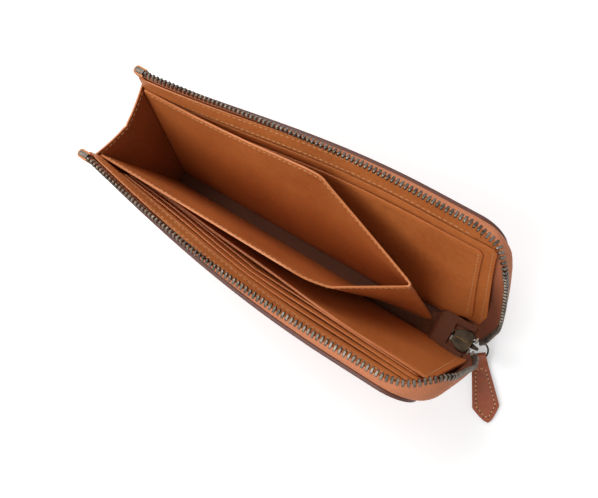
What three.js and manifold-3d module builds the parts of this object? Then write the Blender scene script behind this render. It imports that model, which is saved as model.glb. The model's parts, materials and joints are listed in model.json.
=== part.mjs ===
// A long wallet with an L-shaped zip, standing open on its spine.
// Millimetres, +Z up. The origin is the centre of the spine's underside, +X runs to the slider's
// end, and the front cover is on the -Y side.
import * as THREE from "three";
import { mergeVertices } from "three/addons/utils/BufferGeometryUtils.js";
import Module from "manifold-3d";

const wasm = await Module();
wasm.setup();

const { lerp, clamp, smoothstep, degToRad } = THREE.MathUtils;

// Driving dimensions: the folded outer leather
const length = 188;
const coverHeight = 94.2;
const spineWidth = 23;
const cornerRadius = 15;
const foldRadius = 3;
const outerLeather = 1.6;

// How far each cover leans out, at the gusset and at the slider's end. The covers twist: they are
// fully open from fullyOpenAt of the length, and openingCurve shapes the way there.
const fullyOpenAt = 0.8;
const front = { side: -1, gussetLean: 7.3, openLean: 18.8, openingCurve: 1 };
const back = { side: 1, gussetLean: 8.3, openLean: 18.9, openingCurve: 1.5 };

// Layers inside a cover. The pockets' leather is pared thin towards the gusset, over pareLength.
const layerGap = 0.3;
const tapeThickness = 0.6;
const tapeToTeeth = 0.5;
const liningLeather = 0.6;
const slotLeather = 0.6;
const panelLeather = 1;
const paredShare = 0.42;
const pareLength = 60;
const liningInset = 3;
const facingWidth = 9;
const footHeight = 6;
const footRadius = 20;

// Card slots and the pockets
const slotCount = 4;
const slotStep = 8;
const slotStart = 16;
const slotEnd = 5;
const slotEndStep = 3.5;
const pocketCornerRadius = 3;
const frontPanelHeight = 70;
const frontPanelEnd = 3;
const slipPocketDrop = 13;
const slipPocketStep = 5;
const slipPocketEnds = [2.5, 8];
const coinPocketHeight = 84;
const coinPocketShare = 0.8372;
const coinPocketFoot = 3.5;
const coinPocketFootRise = 5;
const coinPocketLeather = 0.9;
const gussetHeight = 83;
const gussetLeather = 0.9;
const gussetInset = 2;
const gussetCrease = 2.6;
const spineLiningWidth = 15;

// Zip
const seamInset = 6;
const lipInset = 0.4;
const toothPitch = 2.2;
const toothLength = 1.2;
const toothReach = 2.2;
const toothHeight = 1.8;
const topStopLength = 4.6;
const topStopWidth = 2.4;
const topStopHeight = 2.4;
const bottomStopLength = 2.6;
const chainInboard = { gusset: 1.2, open: 6 };
const chainRise = { gusset: 2, open: 3.8 };
const cordWidth = 0.9;

// The tape's way down from the open end to the slider: heights of its sewn edge and of its lip
const seamLandingHeights = [13, 8, 5.5, 5];
const lipLandingHeight = 15.5;
const lipPastRail = 1.4;
const lipPastEnd = 1.4;
const chainPastTail = 6;

// Slider, seen from above with its wide mouth towards +X
const sliderLength = 9.5;
const sliderMouthWidth = 10.9;
const sliderTailWidth = 6.8;
const sliderPastSpine = 2.5;
const sliderAside = 0.8;
const sliderPlate = 1;
const sliderRail = 0.65;
const sliderRailHeight = 0.5;
const sliderClearance = 0.2;
const chainLevel = 9.9;
const chainApartAtMouth = 6.4;
const chainApartAtTail = 2.9;
const wedgeWidth = 2.8;
const flareShares = [0.3, 0.68];
const shoulderShare = 0.86;
const flareAt = [3.2, 6.9];
const lugThickness = 1.6;
const lugWall = 0.9;
const lugHoleRadius = 1;
const lugHolePlace = 8.6;

// Pull
const ringRadius = 5;
const ringWire = 1;
const ringArcToTab = 132;
const tabHeading = -52;
const tabLength = 34.4;
const tabTopWidth = 7.2;
const tabWidth = 13.6;
const tabLeather = 1.1;
const tabLoopRadius = 1.6;
const floorGap = 0.1;

// Places worked out from them
const left = -length / 2;
const right = length / 2;
const cornerStart = right - cornerRadius;
const seamDepth = outerLeather + layerGap;
const liningDepth = seamDepth + tapeThickness + layerGap;
const firstLayerDepth = liningDepth + liningLeather + layerGap;
const slotPitch = slotLeather + layerGap;
const frontPanelDepth = firstLayerDepth + slotCount * slotPitch;
const edgeTop = coverHeight - liningInset;
const sliderTail = right + sliderPastSpine - sliderLength;
const chainEnd = sliderTail - chainPastTail;
const coinPocketLength = length * coinPocketShare;

// How finely the curved sheets are faceted
const columnCount = 18;
const cornerSteps = 5;
const rowHeight = 32;

// Solids

function manifoldOf(geometry) {
  const bare = new THREE.BufferGeometry().setAttribute("position", geometry.getAttribute("position"));
  if (geometry.index) bare.setIndex(geometry.index);
  const merged = mergeVertices(bare, 1e-4);
  return new wasm.Manifold(
    new wasm.Mesh({
      numProp: 3,
      vertProperties: merged.attributes.position.array,
      triVerts: new Uint32Array(merged.index.array),
    }),
  );
}

function geometryOf(manifold) {
  const { vertProperties, triVerts } = manifold.getMesh();
  const geometry = new THREE.BufferGeometry();
  geometry.setAttribute("position", new THREE.BufferAttribute(vertProperties, 3));
  geometry.setIndex(new THREE.BufferAttribute(triVerts, 1));
  return geometry;
}

// The signed volume tells which way the faces point.
function facingOut(points, faces) {
  let volume = 0;
  const [a, b, c] = [new THREE.Vector3(), new THREE.Vector3(), new THREE.Vector3()];
  for (const [i, j, k] of faces) {
    volume += a.copy(points[i]).dot(b.copy(points[j]).cross(c.copy(points[k])));
  }
  return volume < 0 ? faces.map(([i, j, k]) => [i, k, j]) : faces;
}

// A closed solid between two grids of points, its edges closed by a rim.
function sheetBetween(nearGrid, farGrid) {
  const rows = nearGrid.length;
  const columns = nearGrid[0].length;
  const points = [...nearGrid.flat(), ...farGrid.flat()];
  const near = (i, j) => i * columns + j;
  const far = (i, j) => rows * columns + i * columns + j;
  const faces = [];
  const quad = (a, b, c, d) => faces.push([a, b, c], [a, c, d]);
  for (let i = 0; i + 1 < rows; i += 1) {
    for (let j = 0; j + 1 < columns; j += 1) {
      quad(near(i, j), near(i + 1, j), near(i + 1, j + 1), near(i, j + 1));
      quad(far(i, j), far(i, j + 1), far(i + 1, j + 1), far(i + 1, j));
    }
    quad(near(i + 1, 0), near(i, 0), far(i, 0), far(i + 1, 0));
    quad(near(i, columns - 1), near(i + 1, columns - 1), far(i + 1, columns - 1), far(i, columns - 1));
  }
  for (let j = 0; j + 1 < columns; j += 1) {
    quad(near(0, j), near(0, j + 1), far(0, j + 1), far(0, j));
    quad(near(rows - 1, j + 1), near(rows - 1, j), far(rows - 1, j), far(rows - 1, j + 1));
  }
  const geometry = new THREE.BufferGeometry().setFromPoints(points);
  geometry.setIndex(facingOut(points, faces).flat());
  return geometry;
}

// A sheet of one thickness laid half to each side of a grid of points.
function sheetAlong(grid, thickness) {
  const at = (i, j) => grid[clamp(i, 0, grid.length - 1)][clamp(j, 0, grid[0].length - 1)];
  const offset = (distance) =>
    grid.map((row, i) =>
      row.map((point, j) => {
        const along = at(i + 1, j).clone().sub(at(i - 1, j));
        const across = at(i, j + 1).clone().sub(at(i, j - 1));
        return along.cross(across).normalize().multiplyScalar(distance).add(point);
      }),
    );
  return sheetBetween(offset(-thickness / 2), offset(thickness / 2));
}

function extrude(shape, depth, low = 0) {
  const geometry = new THREE.ExtrudeGeometry(shape, { depth, bevelEnabled: false, curveSegments: 6 });
  return geometry.translate(0, 0, low);
}

// Places on the leaning covers

function leanAt(cover, x) {
  const along = clamp((x - left) / length / fullyOpenAt, 0, 1);
  const ease = Math.sin((along * Math.PI) / 2) ** cover.openingCurve;
  return degToRad(lerp(cover.gussetLean, cover.openLean, ease));
}

// A point at a height up a cover's slope, and at a depth in from its outer face.
function onCover(cover, x, height, depth) {
  const lean = leanAt(cover, x);
  const out = spineWidth / 2 + height * Math.sin(lean) - depth * Math.cos(lean);
  return new THREE.Vector3(x, cover.side * out, height * Math.cos(lean) + depth * Math.sin(lean));
}

// Depths past the lining shrink towards the gusset.
function pared(x, depth) {
  const base = liningDepth + liningLeather;
  const share = lerp(paredShare, 1, smoothstep(x, left, left + pareLength));
  return Math.min(depth, base) + Math.max(depth - base, 0) * share;
}

// How far the space inside a cover reaches from the middle, at a level.
function innerReach(cover, x, level, depth) {
  const lean = leanAt(cover, x);
  return spineWidth / 2 + level * Math.tan(lean) - pared(x, depth) / Math.cos(lean);
}

// Columns along the length that close up round a corner which ends at endX. Away from the corner
// all layers share their columns, so that their facets lie alongside each other.
function columnsTo(startX, endX, radius) {
  const bendX = endX - radius;
  const shared = Array.from({ length: columnCount }, (_, i) => left + (i * length) / columnCount);
  const straight = shared.filter((x) => x > startX + 1 && x < bendX - 1);
  const bend = Array.from(
    { length: cornerSteps + 1 },
    (_, i) => bendX + radius * Math.sin((i / cornerSteps) * (Math.PI / 2)),
  );
  return [startX, ...straight, ...bend];
}

// Shares of a height, in rows of about rowHeight.
function rowShares(height) {
  const count = Math.max(1, Math.round(height / rowHeight));
  return Array.from({ length: count + 1 }, (_, i) => i / count);
}

// The drop of a rounded corner below a straight edge.
function cornerDrop(x, endX, radius) {
  const past = clamp(x - (endX - radius), 0, radius);
  return radius - Math.sqrt(radius * radius - past * past);
}

// Leather pieces

function outerShell() {
  const columns = columnsTo(left, right, cornerRadius);
  const foldSteps = 4;
  const section = (x, depth) => {
    const half = (cover) => {
      const lean = leanAt(cover, x);
      const turn = Math.PI / 2 - lean;
      const tangent = foldRadius * Math.tan(turn / 2);
      const bend = Array.from({ length: foldSteps + 1 }, (_, i) => {
        const angle = (i / foldSteps) * turn;
        const out = spineWidth / 2 - tangent + (foldRadius - depth) * Math.sin(angle);
        const up = foldRadius - (foldRadius - depth) * Math.cos(angle);
        return new THREE.Vector3(x, cover.side * out, up);
      });
      const top = coverHeight - cornerDrop(x, right, cornerRadius);
      const wall = rowShares(coverHeight).slice(1);
      return [...bend, ...wall.map((share) => onCover(cover, x, lerp(tangent, top, share), depth))];
    };
    return [...half(front).reverse(), ...half(back)];
  };
  return sheetBetween(
    columns.map((x) => section(x, 0)),
    columns.map((x) => section(x, outerLeather)),
  );
}

// A layer laid on the inside of a cover, with rounded corners at its right end.
function coverLayer(cover, size) {
  const { startX, endX, low, top, topRadius, lowRadius = topRadius, depth, leather } = size;
  const radius = Math.max(topRadius, lowRadius);
  const columns = columnsTo(startX, endX, radius);
  const face = (layerDepth) =>
    columns.map((x) => {
      const lowest = low + cornerDrop(x, endX, lowRadius);
      const highest = top - cornerDrop(x, endX, topRadius);
      return rowShares(top - low).map((share) =>
        onCover(cover, x, lerp(lowest, highest, share), pared(x, layerDepth)),
      );
    });
  return sheetBetween(face(depth), face(depth + leather));
}

function lining(cover) {
  return coverLayer(cover, {
    startX: left + gussetInset + gussetLeather + layerGap,
    endX: right - liningInset,
    low: footHeight,
    top: edgeTop,
    topRadius: cornerRadius - liningInset,
    lowRadius: footRadius,
    depth: liningDepth,
    leather: liningLeather,
  });
}

// The strip that covers the sewn edge of the zip tape.
function facing(cover) {
  return coverLayer(cover, {
    startX: left + gussetInset + gussetLeather + layerGap,
    endX: right - cornerRadius + liningInset,
    low: edgeTop - facingWidth,
    top: edgeTop,
    topRadius: liningInset,
    depth: firstLayerDepth,
    leather: slotLeather,
  });
}

function cardSlot(index) {
  return coverLayer(front, {
    startX: left + slotStart,
    endX: right - slotEnd - index * slotEndStep,
    low: footHeight + index * layerGap,
    top: edgeTop - facingWidth - layerGap - index * slotStep,
    topRadius: pocketCornerRadius,
    lowRadius: footRadius,
    depth: firstLayerDepth + index * slotPitch,
    leather: slotLeather,
  });
}

function frontPanel() {
  return coverLayer(front, {
    startX: left + slotStart,
    endX: right - frontPanelEnd,
    low: footHeight + slotCount * layerGap,
    top: frontPanelHeight,
    topRadius: pocketCornerRadius,
    lowRadius: footRadius,
    depth: frontPanelDepth,
    leather: panelLeather,
  });
}

function slipPocket(index) {
  return coverLayer(back, {
    startX: left + slotStart,
    endX: right - slipPocketEnds[index],
    low: footHeight + index * layerGap,
    top: edgeTop - slipPocketDrop + liningInset - index * slipPocketStep,
    topRadius: pocketCornerRadius,
    lowRadius: footRadius,
    depth: firstLayerDepth + index * slotPitch,
    leather: slotLeather,
  });
}

function spineLining() {
  const start = left + gussetInset + gussetLeather + layerGap;
  const end = chainEnd - bottomStopLength;
  const geometry = new THREE.BoxGeometry(end - start, spineLiningWidth, liningLeather);
  return geometry.translate((start + end) / 2, 0, outerLeather + layerGap + liningLeather / 2);
}

// The gusset closes the left end. Its middle folds a little inwards, most at the top.
function gusset() {
  const low = outerLeather + layerGap;
  const shares = [-1, -0.5, 0, 0.5, 1];
  const grid = [0, 0.5, 1].map((rise) => {
    const level = lerp(low, gussetHeight, rise);
    return shares.map((share) => {
      const cover = share < 0 ? front : back;
      const reach = innerReach(cover, left, level, outerLeather) - layerGap - outerLeather / 4;
      const foldIn = gussetCrease * rise * (1 - Math.abs(share));
      return new THREE.Vector3(left + gussetInset + foldIn, share * reach, level);
    });
  });
  const inner = grid.map((row) =>
    row.map((point) => point.clone().add(new THREE.Vector3(gussetLeather, 0, 0))),
  );
  return sheetBetween(grid, inner);
}

// The coin pocket is one strip: along the front, round a bend, back on itself at the tip, and
// home to the gusset. Each station holds the shares of the pocket's length, of its half width
// at the gusset and of its height, for the strip's upper edge and then for its foot.
const coinPocketStations = [
  { upper: [0, -1, 1], foot: [0, -1] },
  { upper: [0.35, -1, 1], foot: [0.35, -0.9] },
  { upper: [0.67, -1, 1], foot: [0.67, -0.85] },
  { upper: [0.755, -0.97, 0.94], foot: [0.77, -0.85] },
  { upper: [0.82, -0.83, 0.875], foot: [0.85, -0.75] },
  { upper: [0.86, -0.6, 0.84], foot: [0.9, -0.5] },
  { upper: [0.985, 0.15, 0.722], foot: [1.035, 0.25] },
  { upper: [1, 0.26, 0.712], foot: [1.06, 0.7] },
  { upper: [0.985, 0.36, 0.722], foot: [1.035, 1.15] },
  { upper: [0.83, 0.78, 0.85], foot: [0.88, 1.3] },
  { upper: [0.68, 1.17, 0.97], foot: [0.72, 1.3] },
  { upper: [0.645, 1.26, 0.993], foot: [0.67, 1.25] },
  { upper: [0.59, 1.26, 1], foot: [0.6, 1.2] },
  { upper: [0.38, 1.12, 1], foot: [0.38, 1.1] },
  { upper: [0.2, 1.04, 1], foot: [0.2, 1.05] },
  { upper: [0, 1, 1], foot: [0, 1] },
];

function coinPocket() {
  const start = left + gussetInset + gussetLeather + layerGap + gussetCrease * 0.15;
  const reach = [front, back].map(
    (cover) => innerReach(cover, start, coinPocketHeight, liningDepth + liningLeather) - layerGap,
  );
  const run = left + coinPocketLength - start;
  const floor = outerLeather + liningLeather + 2 * layerGap;
  const half = (share) => (share < 0 ? reach[0] : reach[1]) - coinPocketLeather;
  const curve = (points) => new THREE.CatmullRomCurve3(points, false, "catmullrom", 0.35);
  const upper = curve(
    coinPocketStations.map(
      ({ upper: [along, aside, up] }) =>
        new THREE.Vector3(start + run * along, half(aside) * aside, coinPocketHeight * up),
    ),
  );
  const foot = curve(
    coinPocketStations.map(({ foot: [along, aside] }) => {
      const level = floor + coinPocketFootRise * smoothstep(along, 0.75, 1.06);
      return new THREE.Vector3(start + run * along, coinPocketFoot * aside, level);
    }),
  );
  const steps = (coinPocketStations.length - 1) * 3;
  const grid = Array.from({ length: steps + 1 }, (_, i) => {
    const [high, low] = [upper.getPoint(i / steps), foot.getPoint(i / steps)];
    return [0, 0.5, 1].map((share) => low.clone().lerp(high, share));
  });
  return sheetAlong(grid, coinPocketLeather);
}

// Zip

// The chain's way round the open end, from the top corner down to the slider. Each point holds
// how far it stands past the cover's end, and its shares of the chain's spread and height.
const chainBow = {
  front: [
    [-7.5, 0.94, 0.985],
    [-2.8, 0.86, 0.975],
    [4.5, 0.65, 0.94],
    [9.1, 0.51, 0.855],
    [10, 0.36, 0.65],
    [11.5, 0.25, 0.54],
    [10, 0.13, 0.38],
  ],
  back: [
    [-3.8, 0.93, 0.985],
    [0.5, 0.83, 0.975],
    [4.4, 0.7, 0.94],
    [7.5, 0.59, 0.825],
    [10.5, 0.38, 0.665],
    [12, 0.2, 0.52],
    [10, 0.12, 0.33],
  ],
};

function chainOverTop(cover, x) {
  const share = smoothstep(x, left, cornerStart);
  const lean = leanAt(cover, x);
  const inboard = lerp(chainInboard.gusset, chainInboard.open, share);
  const rise = lerp(chainRise.gusset, chainRise.open, share);
  const out = spineWidth / 2 + coverHeight * Math.sin(lean) - inboard;
  return new THREE.Vector3(x, cover.side * out, coverHeight * Math.cos(lean) + rise);
}

// Three lines that the tape follows: its sewn edge, the cover's lip and the chain.
function tapeLines(cover, bow) {
  const middle = seamDepth + tapeThickness / 2;
  const topXs = columnsTo(left + 1, right, cornerRadius).slice(0, -cornerSteps - 1);
  const top = topXs.map((x) => ({
    seam: onCover(cover, x, coverHeight - seamInset, middle),
    lip: onCover(cover, x, coverHeight - lipInset, middle),
    chain: chainOverTop(cover, x),
    bowed: 1,
  }));

  const corner = chainOverTop(cover, cornerStart);
  const mouth = (apart) => cover.side * apart;
  const chainPoints = [
    corner,
    ...bow.map(([past, spread, share]) => {
      const aside = lerp(mouth(chainApartAtMouth / 2), corner.y, spread);
      return new THREE.Vector3(right + past, aside + sliderAside * (1 - spread), corner.z * share);
    }),
    new THREE.Vector3(right + 7, sliderAside + mouth(chainApartAtMouth / 2 + 0.6), chainLevel + 2.4),
    new THREE.Vector3(right + 4.6, sliderAside + mouth(chainApartAtMouth / 2), chainLevel),
    new THREE.Vector3(sliderTail + flareAt[1], sliderAside + mouth(chainApartAtMouth / 2), chainLevel),
    new THREE.Vector3(sliderTail + flareAt[0], sliderAside + mouth(chainApartAtTail / 2), chainLevel),
    new THREE.Vector3(chainEnd, sliderAside + mouth(chainApartAtTail / 2), chainLevel),
  ];
  const cornerHeight = coverHeight - cornerRadius;
  const beside = (inset) => [
    ...[0, 22.5, 45, 67.5, 90].map(degToRad).map((angle) => {
      const radius = cornerRadius - inset;
      const x = cornerStart + radius * Math.sin(angle);
      return onCover(cover, x, cornerHeight + radius * Math.cos(angle), middle);
    }),
    ...[0.72, 0.56, 0.38].map((share) =>
      onCover(cover, right - inset, coverHeight * share, middle),
    ),
  ];
  const seamPoints = [
    ...beside(seamInset),
    onCover(cover, right - seamInset, seamLandingHeights[0], middle),
    onCover(cover, right - seamInset - 1, seamLandingHeights[1], middle),
    onCover(cover, sliderTail + flareAt[0], seamLandingHeights[2], middle),
    onCover(cover, sliderTail, seamLandingHeights[3], middle),
    onCover(cover, chainEnd, seamLandingHeights[3], middle),
  ];
  const lipAside = sliderAside + cover.side * (sliderMouthWidth / 2 + lipPastRail);
  const lipPoints = [
    ...beside(lipInset),
    onCover(cover, right - lipInset, lipLandingHeight, middle + 1).add(new THREE.Vector3(0.6, 0, 0)),
    new THREE.Vector3(right + lipPastEnd, lipAside, chainLevel + 0.6),
    new THREE.Vector3(sliderTail + 5, lipAside, chainLevel),
    new THREE.Vector3(sliderTail, lipAside, chainLevel),
    new THREE.Vector3(chainEnd, lipAside, chainLevel),
  ];
  const curves = [seamPoints, lipPoints, chainPoints].map(
    (points) => new THREE.CatmullRomCurve3(points, false, "catmullrom", 0.4),
  );
  const steps = (chainPoints.length - 1) * 3;
  const end = Array.from({ length: steps + 1 }, (_, i) => {
    const [seam, lip, chain] = curves.map((curve) => curve.getPoint(i / steps));
    return { seam, lip, chain, bowed: 1 - smoothstep(i / steps, 0.5, 0.7) };
  });
  return [...top, ...end];
}

// Across the tape: flat from the sewn edge to the lip, then over in a bow that ends at the teeth.
// Beside the slider the tape lies straight.
function acrossTape({ seam, lip, chain, bowed }) {
  const reach = lip.distanceTo(chain);
  const straight = lip.clone().lerp(chain, 0.5);
  const over = lip.clone().sub(seam).normalize().multiplyScalar(reach * 0.45).add(lip);
  over.lerp(straight, 1 - bowed);
  const bow = new THREE.QuadraticBezierCurve3(lip, over, chain);
  const atTeeth = 1 - (toothReach / 2 + tapeToTeeth) / reach;
  return [seam, lip, bow.getPoint(atTeeth / 2), bow.getPoint(atTeeth)];
}

// Frames along the chain's line at even steps of arc length: the way along it, the reach from the
// tape towards the other half, and the thickness.
function chainFrames(lines, distances) {
  const chain = lines.map((line) => line.chain);
  const spans = chain.map((point, i) => (i ? point.distanceTo(chain[i - 1]) : 0));
  const travelled = spans.map(((sum) => (span) => (sum += span))(0));
  return distances(travelled.at(-1)).map((distance) => {
    const i = travelled.findIndex((value) => value > distance);
    const share = (distance - travelled[i - 1]) / spans[i];
    const place = chain[i - 1].clone().lerp(chain[i], share);
    const before = chain[Math.max(i - 2, 0)];
    const after = chain[Math.min(i + 1, chain.length - 1)];
    const along = chain[i].clone().sub(before).lerp(after.clone().sub(chain[i - 1]), share).normalize();
    const inner = [i - 1, i].map((j) => acrossTape(lines[j]).at(-1));
    const reach = place.clone().sub(inner[0].lerp(inner[1], share));
    reach.addScaledVector(along, -reach.dot(along)).normalize();
    return { place, along, reach, up: along.clone().cross(reach) };
  });
}

// A closed solid through a row of four-cornered rings.
function throughRings(rings) {
  const points = rings.flat();
  const faces = [];
  for (let i = 0; i + 1 < rings.length; i += 1) {
    for (let j = 0; j < 4; j += 1) {
      const [a, b] = [4 * i + j, 4 * i + ((j + 1) % 4)];
      faces.push([a, b, b + 4], [a, b + 4, a + 4]);
    }
  }
  const last = points.length - 4;
  faces.push([0, 2, 1], [0, 3, 2], [last, last + 1, last + 2], [last, last + 2, last + 3]);
  const geometry = new THREE.BufferGeometry().setFromPoints(points);
  geometry.setIndex(facingOut(points, faces).flat());
  return geometry;
}

// The row of teeth: blocks that are clamped at one pitch along the tape's corded edge. The
// section steps from the cord out to the tooth and back again.
function zipTeeth(cover, bow) {
  const lines = tapeLines(cover, bow);
  const first = topStopLength + toothPitch / 2;
  const frames = chainFrames(lines, (total) => {
    const count = Math.floor((total - toothLength / 2 - first) / toothPitch) + 1;
    return Array.from({ length: count }, (_, i) => first + i * toothPitch);
  });
  const ring = ({ place, along, reach, up }, shift, width, height) =>
    [[-1, -1], [1, -1], [1, 1], [-1, 1]].map(([aside, high]) =>
      place
        .clone()
        .addScaledVector(along, shift)
        .addScaledVector(reach, (aside * width) / 2)
        .addScaledVector(up, (high * height) / 2),
    );
  const half = toothLength / 2;
  return throughRings(
    frames.flatMap((frame) => [
      ring(frame, -half, cordWidth, cordWidth),
      ring(frame, -half, toothReach, toothHeight),
      ring(frame, half, toothReach, toothHeight),
      ring(frame, half, cordWidth, cordWidth),
    ]),
  );
}

// The stop sits on the chain's line, between the cover's end and the first tooth.
function topStop(cover) {
  const block = new THREE.BoxGeometry(topStopLength, topStopWidth, topStopHeight);
  const x = left + 1 + topStopLength / 2;
  const { y, z } = chainOverTop(cover, x);
  return block.translate(x, y, z);
}

function zipTape(cover, bow) {
  return sheetAlong(tapeLines(cover, bow).map(acrossTape), tapeThickness);
}

function bottomStop() {
  const width = chainApartAtTail + 2 * toothReach + 2 * tapeToTeeth;
  const block = new THREE.BoxGeometry(bottomStopLength, width, topStopHeight);
  const x = chainEnd - layerGap - bottomStopLength / 2;
  return block.translate(x, sliderAside, chainLevel);
}

// Slider

// Half of the plate's outline, from its tail to its mouth, mirrored over the axis.
function plateShape() {
  const [tail, mouth] = [sliderTailWidth / 2, sliderMouthWidth / 2];
  const [flareStart, flareEnd] = flareShares.map((share) => share * sliderLength);
  const shoulder = sliderLength * shoulderShare;
  const shape = new THREE.Shape();
  shape.moveTo(0, -tail);
  shape.lineTo(flareStart, -tail);
  shape.bezierCurveTo(flareEnd * 0.75, -tail, flareEnd * 0.8, -mouth, flareEnd, -mouth);
  shape.lineTo(shoulder, -mouth);
  shape.quadraticCurveTo(sliderLength, -mouth * 0.8, sliderLength, 0);
  shape.quadraticCurveTo(sliderLength, mouth * 0.8, shoulder, mouth);
  shape.lineTo(flareEnd, mouth);
  shape.bezierCurveTo(flareEnd * 0.8, mouth, flareEnd * 0.75, tail, flareStart, tail);
  shape.lineTo(0, tail);
  return shape;
}

// The channel between the rails is the plate's outline, drawn in at the sides and open at both ends.
function channelShape() {
  const [tail, mouth] = [sliderTailWidth / 2 - sliderRail, sliderMouthWidth / 2 - sliderRail];
  const [flareStart, flareEnd] = flareShares.map((share) => share * sliderLength);
  const shape = new THREE.Shape();
  shape.moveTo(-1, -tail);
  shape.lineTo(flareStart, -tail);
  shape.bezierCurveTo(flareEnd * 0.75, -tail, flareEnd * 0.8, -mouth, flareEnd, -mouth);
  shape.lineTo(sliderLength + 1, -mouth);
  shape.lineTo(sliderLength + 1, mouth);
  shape.lineTo(flareEnd, mouth);
  shape.bezierCurveTo(flareEnd * 0.8, mouth, flareEnd * 0.75, tail, flareStart, tail);
  shape.lineTo(-1, tail);
  return shape;
}

const channelHalf = toothHeight / 2 + sliderClearance;
const lugHoleLevel = -channelHalf - sliderPlate - lugHoleRadius - layerGap;

function sliderBody() {
  const plate = plateShape();
  const plates = [channelHalf, -channelHalf - sliderPlate].map((low) =>
    manifoldOf(extrude(plate, sliderPlate, low)),
  );
  const railBlock = [channelHalf - sliderRailHeight, -channelHalf].map((low) =>
    manifoldOf(extrude(plate, sliderRailHeight, low)),
  );
  const channel = manifoldOf(extrude(channelShape(), 2 * channelHalf + 1, -channelHalf - 0.5));
  const rails = wasm.Manifold.union(railBlock).subtract(channel);

  // The wedge that parts the two rows of teeth, at the mouth.
  const wedge = new THREE.Shape([
    new THREE.Vector2(sliderLength * 0.62, 0),
    new THREE.Vector2(sliderLength * 0.86, -wedgeWidth / 2),
    new THREE.Vector2(sliderLength * 0.97, 0),
    new THREE.Vector2(sliderLength * 0.86, wedgeWidth / 2),
  ]);
  const post = manifoldOf(extrude(wedge, 2 * channelHalf + sliderPlate, -channelHalf - sliderPlate / 2));

  // The lug under the lower plate, with the hole that the ring hangs in.
  const top = -channelHalf - sliderPlate / 2;
  const lugRadius = lugHoleRadius + lugWall;
  const lug = new THREE.Shape();
  lug.moveTo(sliderLength * 0.35, top);
  const lugFoot = lugHoleLevel - lugRadius;
  lug.quadraticCurveTo(lugHolePlace - 2 * lugRadius, lugFoot, lugHolePlace, lugFoot);
  lug.absarc(lugHolePlace, lugHoleLevel, lugRadius, -Math.PI / 2, 0, false);
  lug.lineTo(lugHolePlace + lugWall / 2, top);
  const hole = new THREE.Path();
  hole.absarc(lugHolePlace, lugHoleLevel, lugHoleRadius, 0, 2 * Math.PI, true);
  lug.holes.push(hole);
  const lugSolid = manifoldOf(
    extrude(lug, lugThickness, -lugThickness / 2).rotateX(Math.PI / 2),
  );
  return geometryOf(wasm.Manifold.union([...plates, rails, post, lugSolid]));
}

// Pull

// The ring hangs in the lug and slopes down to the tab. Its plane holds two directions: level
// across the tab, and downhill along the tab.
function pullPlaces() {
  const lugHole = new THREE.Vector3(
    sliderTail + lugHolePlace,
    sliderAside,
    chainLevel + lugHoleLevel,
  );
  const heading = degToRad(tabHeading);
  const arc = Math.PI / 2 + degToRad(ringArcToTab);
  const halfChord = tabTopWidth / 2;
  const sagitta = ringRadius - Math.sqrt(ringRadius ** 2 - halfChord ** 2);
  const loopReach = ringRadius - sagitta / 2;
  const loopLevel = floorGap + tabLoopRadius + tabLeather;
  const slope = Math.asin((lugHole.z - loopLevel) / (loopReach - ringRadius * Math.sin(arc)));
  const level = new THREE.Vector3(-Math.sin(heading), Math.cos(heading), 0);
  const downhill = new THREE.Vector3(
    Math.cos(heading) * Math.cos(slope),
    Math.sin(heading) * Math.cos(slope),
    -Math.sin(slope),
  );
  const centre = lugHole.clone();
  centre.addScaledVector(level, -ringRadius * Math.cos(arc));
  centre.addScaledVector(downhill, -ringRadius * Math.sin(arc));
  const loop = centre.clone().addScaledVector(downhill, loopReach);
  return { lugHole, level, downhill, centre, loop, heading };
}

function pullRing() {
  return new THREE.TorusGeometry(ringRadius, ringWire / 2, 6, 24);
}

// A strip folded round the ring: a loop at the top, and two layers sewn flat below it.
function pullTab() {
  const outer = tabLoopRadius + tabLeather;
  const tip = tabLength - outer;
  const joinAt = 2.6 * outer;
  const side = new THREE.Shape();
  side.moveTo(0, -outer);
  side.lineTo(tip, -outer);
  side.lineTo(tip, -outer + 2 * tabLeather);
  side.lineTo(joinAt, -outer + 2 * tabLeather);
  side.bezierCurveTo(joinAt * 0.7, -outer + 2 * tabLeather, outer * 0.8, outer, 0, outer);
  side.absarc(0, 0, outer, Math.PI / 2, (3 * Math.PI) / 2, false);
  const bore = new THREE.Path();
  bore.moveTo(0, tabLoopRadius);
  bore.quadraticCurveTo(tabLoopRadius * 1.2, tabLoopRadius, joinAt * 0.66, -outer + tabLeather);
  bore.lineTo(0, -tabLoopRadius);
  bore.absarc(0, 0, tabLoopRadius, (3 * Math.PI) / 2, Math.PI / 2, true);
  side.holes.push(bore);
  const folded = extrude(side, tabWidth + 2, -tabWidth / 2 - 1).rotateX(Math.PI / 2);

  const widest = tip - tabWidth * 0.72;
  const outline = new THREE.Shape();
  outline.moveTo(-outer - 1, -tabTopWidth / 2);
  outline.lineTo(tabLoopRadius, -tabTopWidth / 2);
  outline.lineTo(widest - 2, -tabWidth / 2 + 0.3);
  outline.quadraticCurveTo(widest + 1, -tabWidth / 2, widest + 2.6, -tabWidth * 0.38);
  outline.lineTo(tip - 1.3, -1.1);
  outline.quadraticCurveTo(tip, 0, tip - 1.3, 1.1);
  outline.lineTo(widest + 2.6, tabWidth * 0.38);
  outline.quadraticCurveTo(widest + 1, tabWidth / 2, widest - 2, tabWidth / 2 - 0.3);
  outline.lineTo(tabLoopRadius, tabTopWidth / 2);
  outline.lineTo(-outer - 1, tabTopWidth / 2);
  const cutter = extrude(outline, 4 * outer, -2 * outer);
  return geometryOf(manifoldOf(folded).intersect(manifoldOf(cutter)));
}

// Materials

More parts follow.
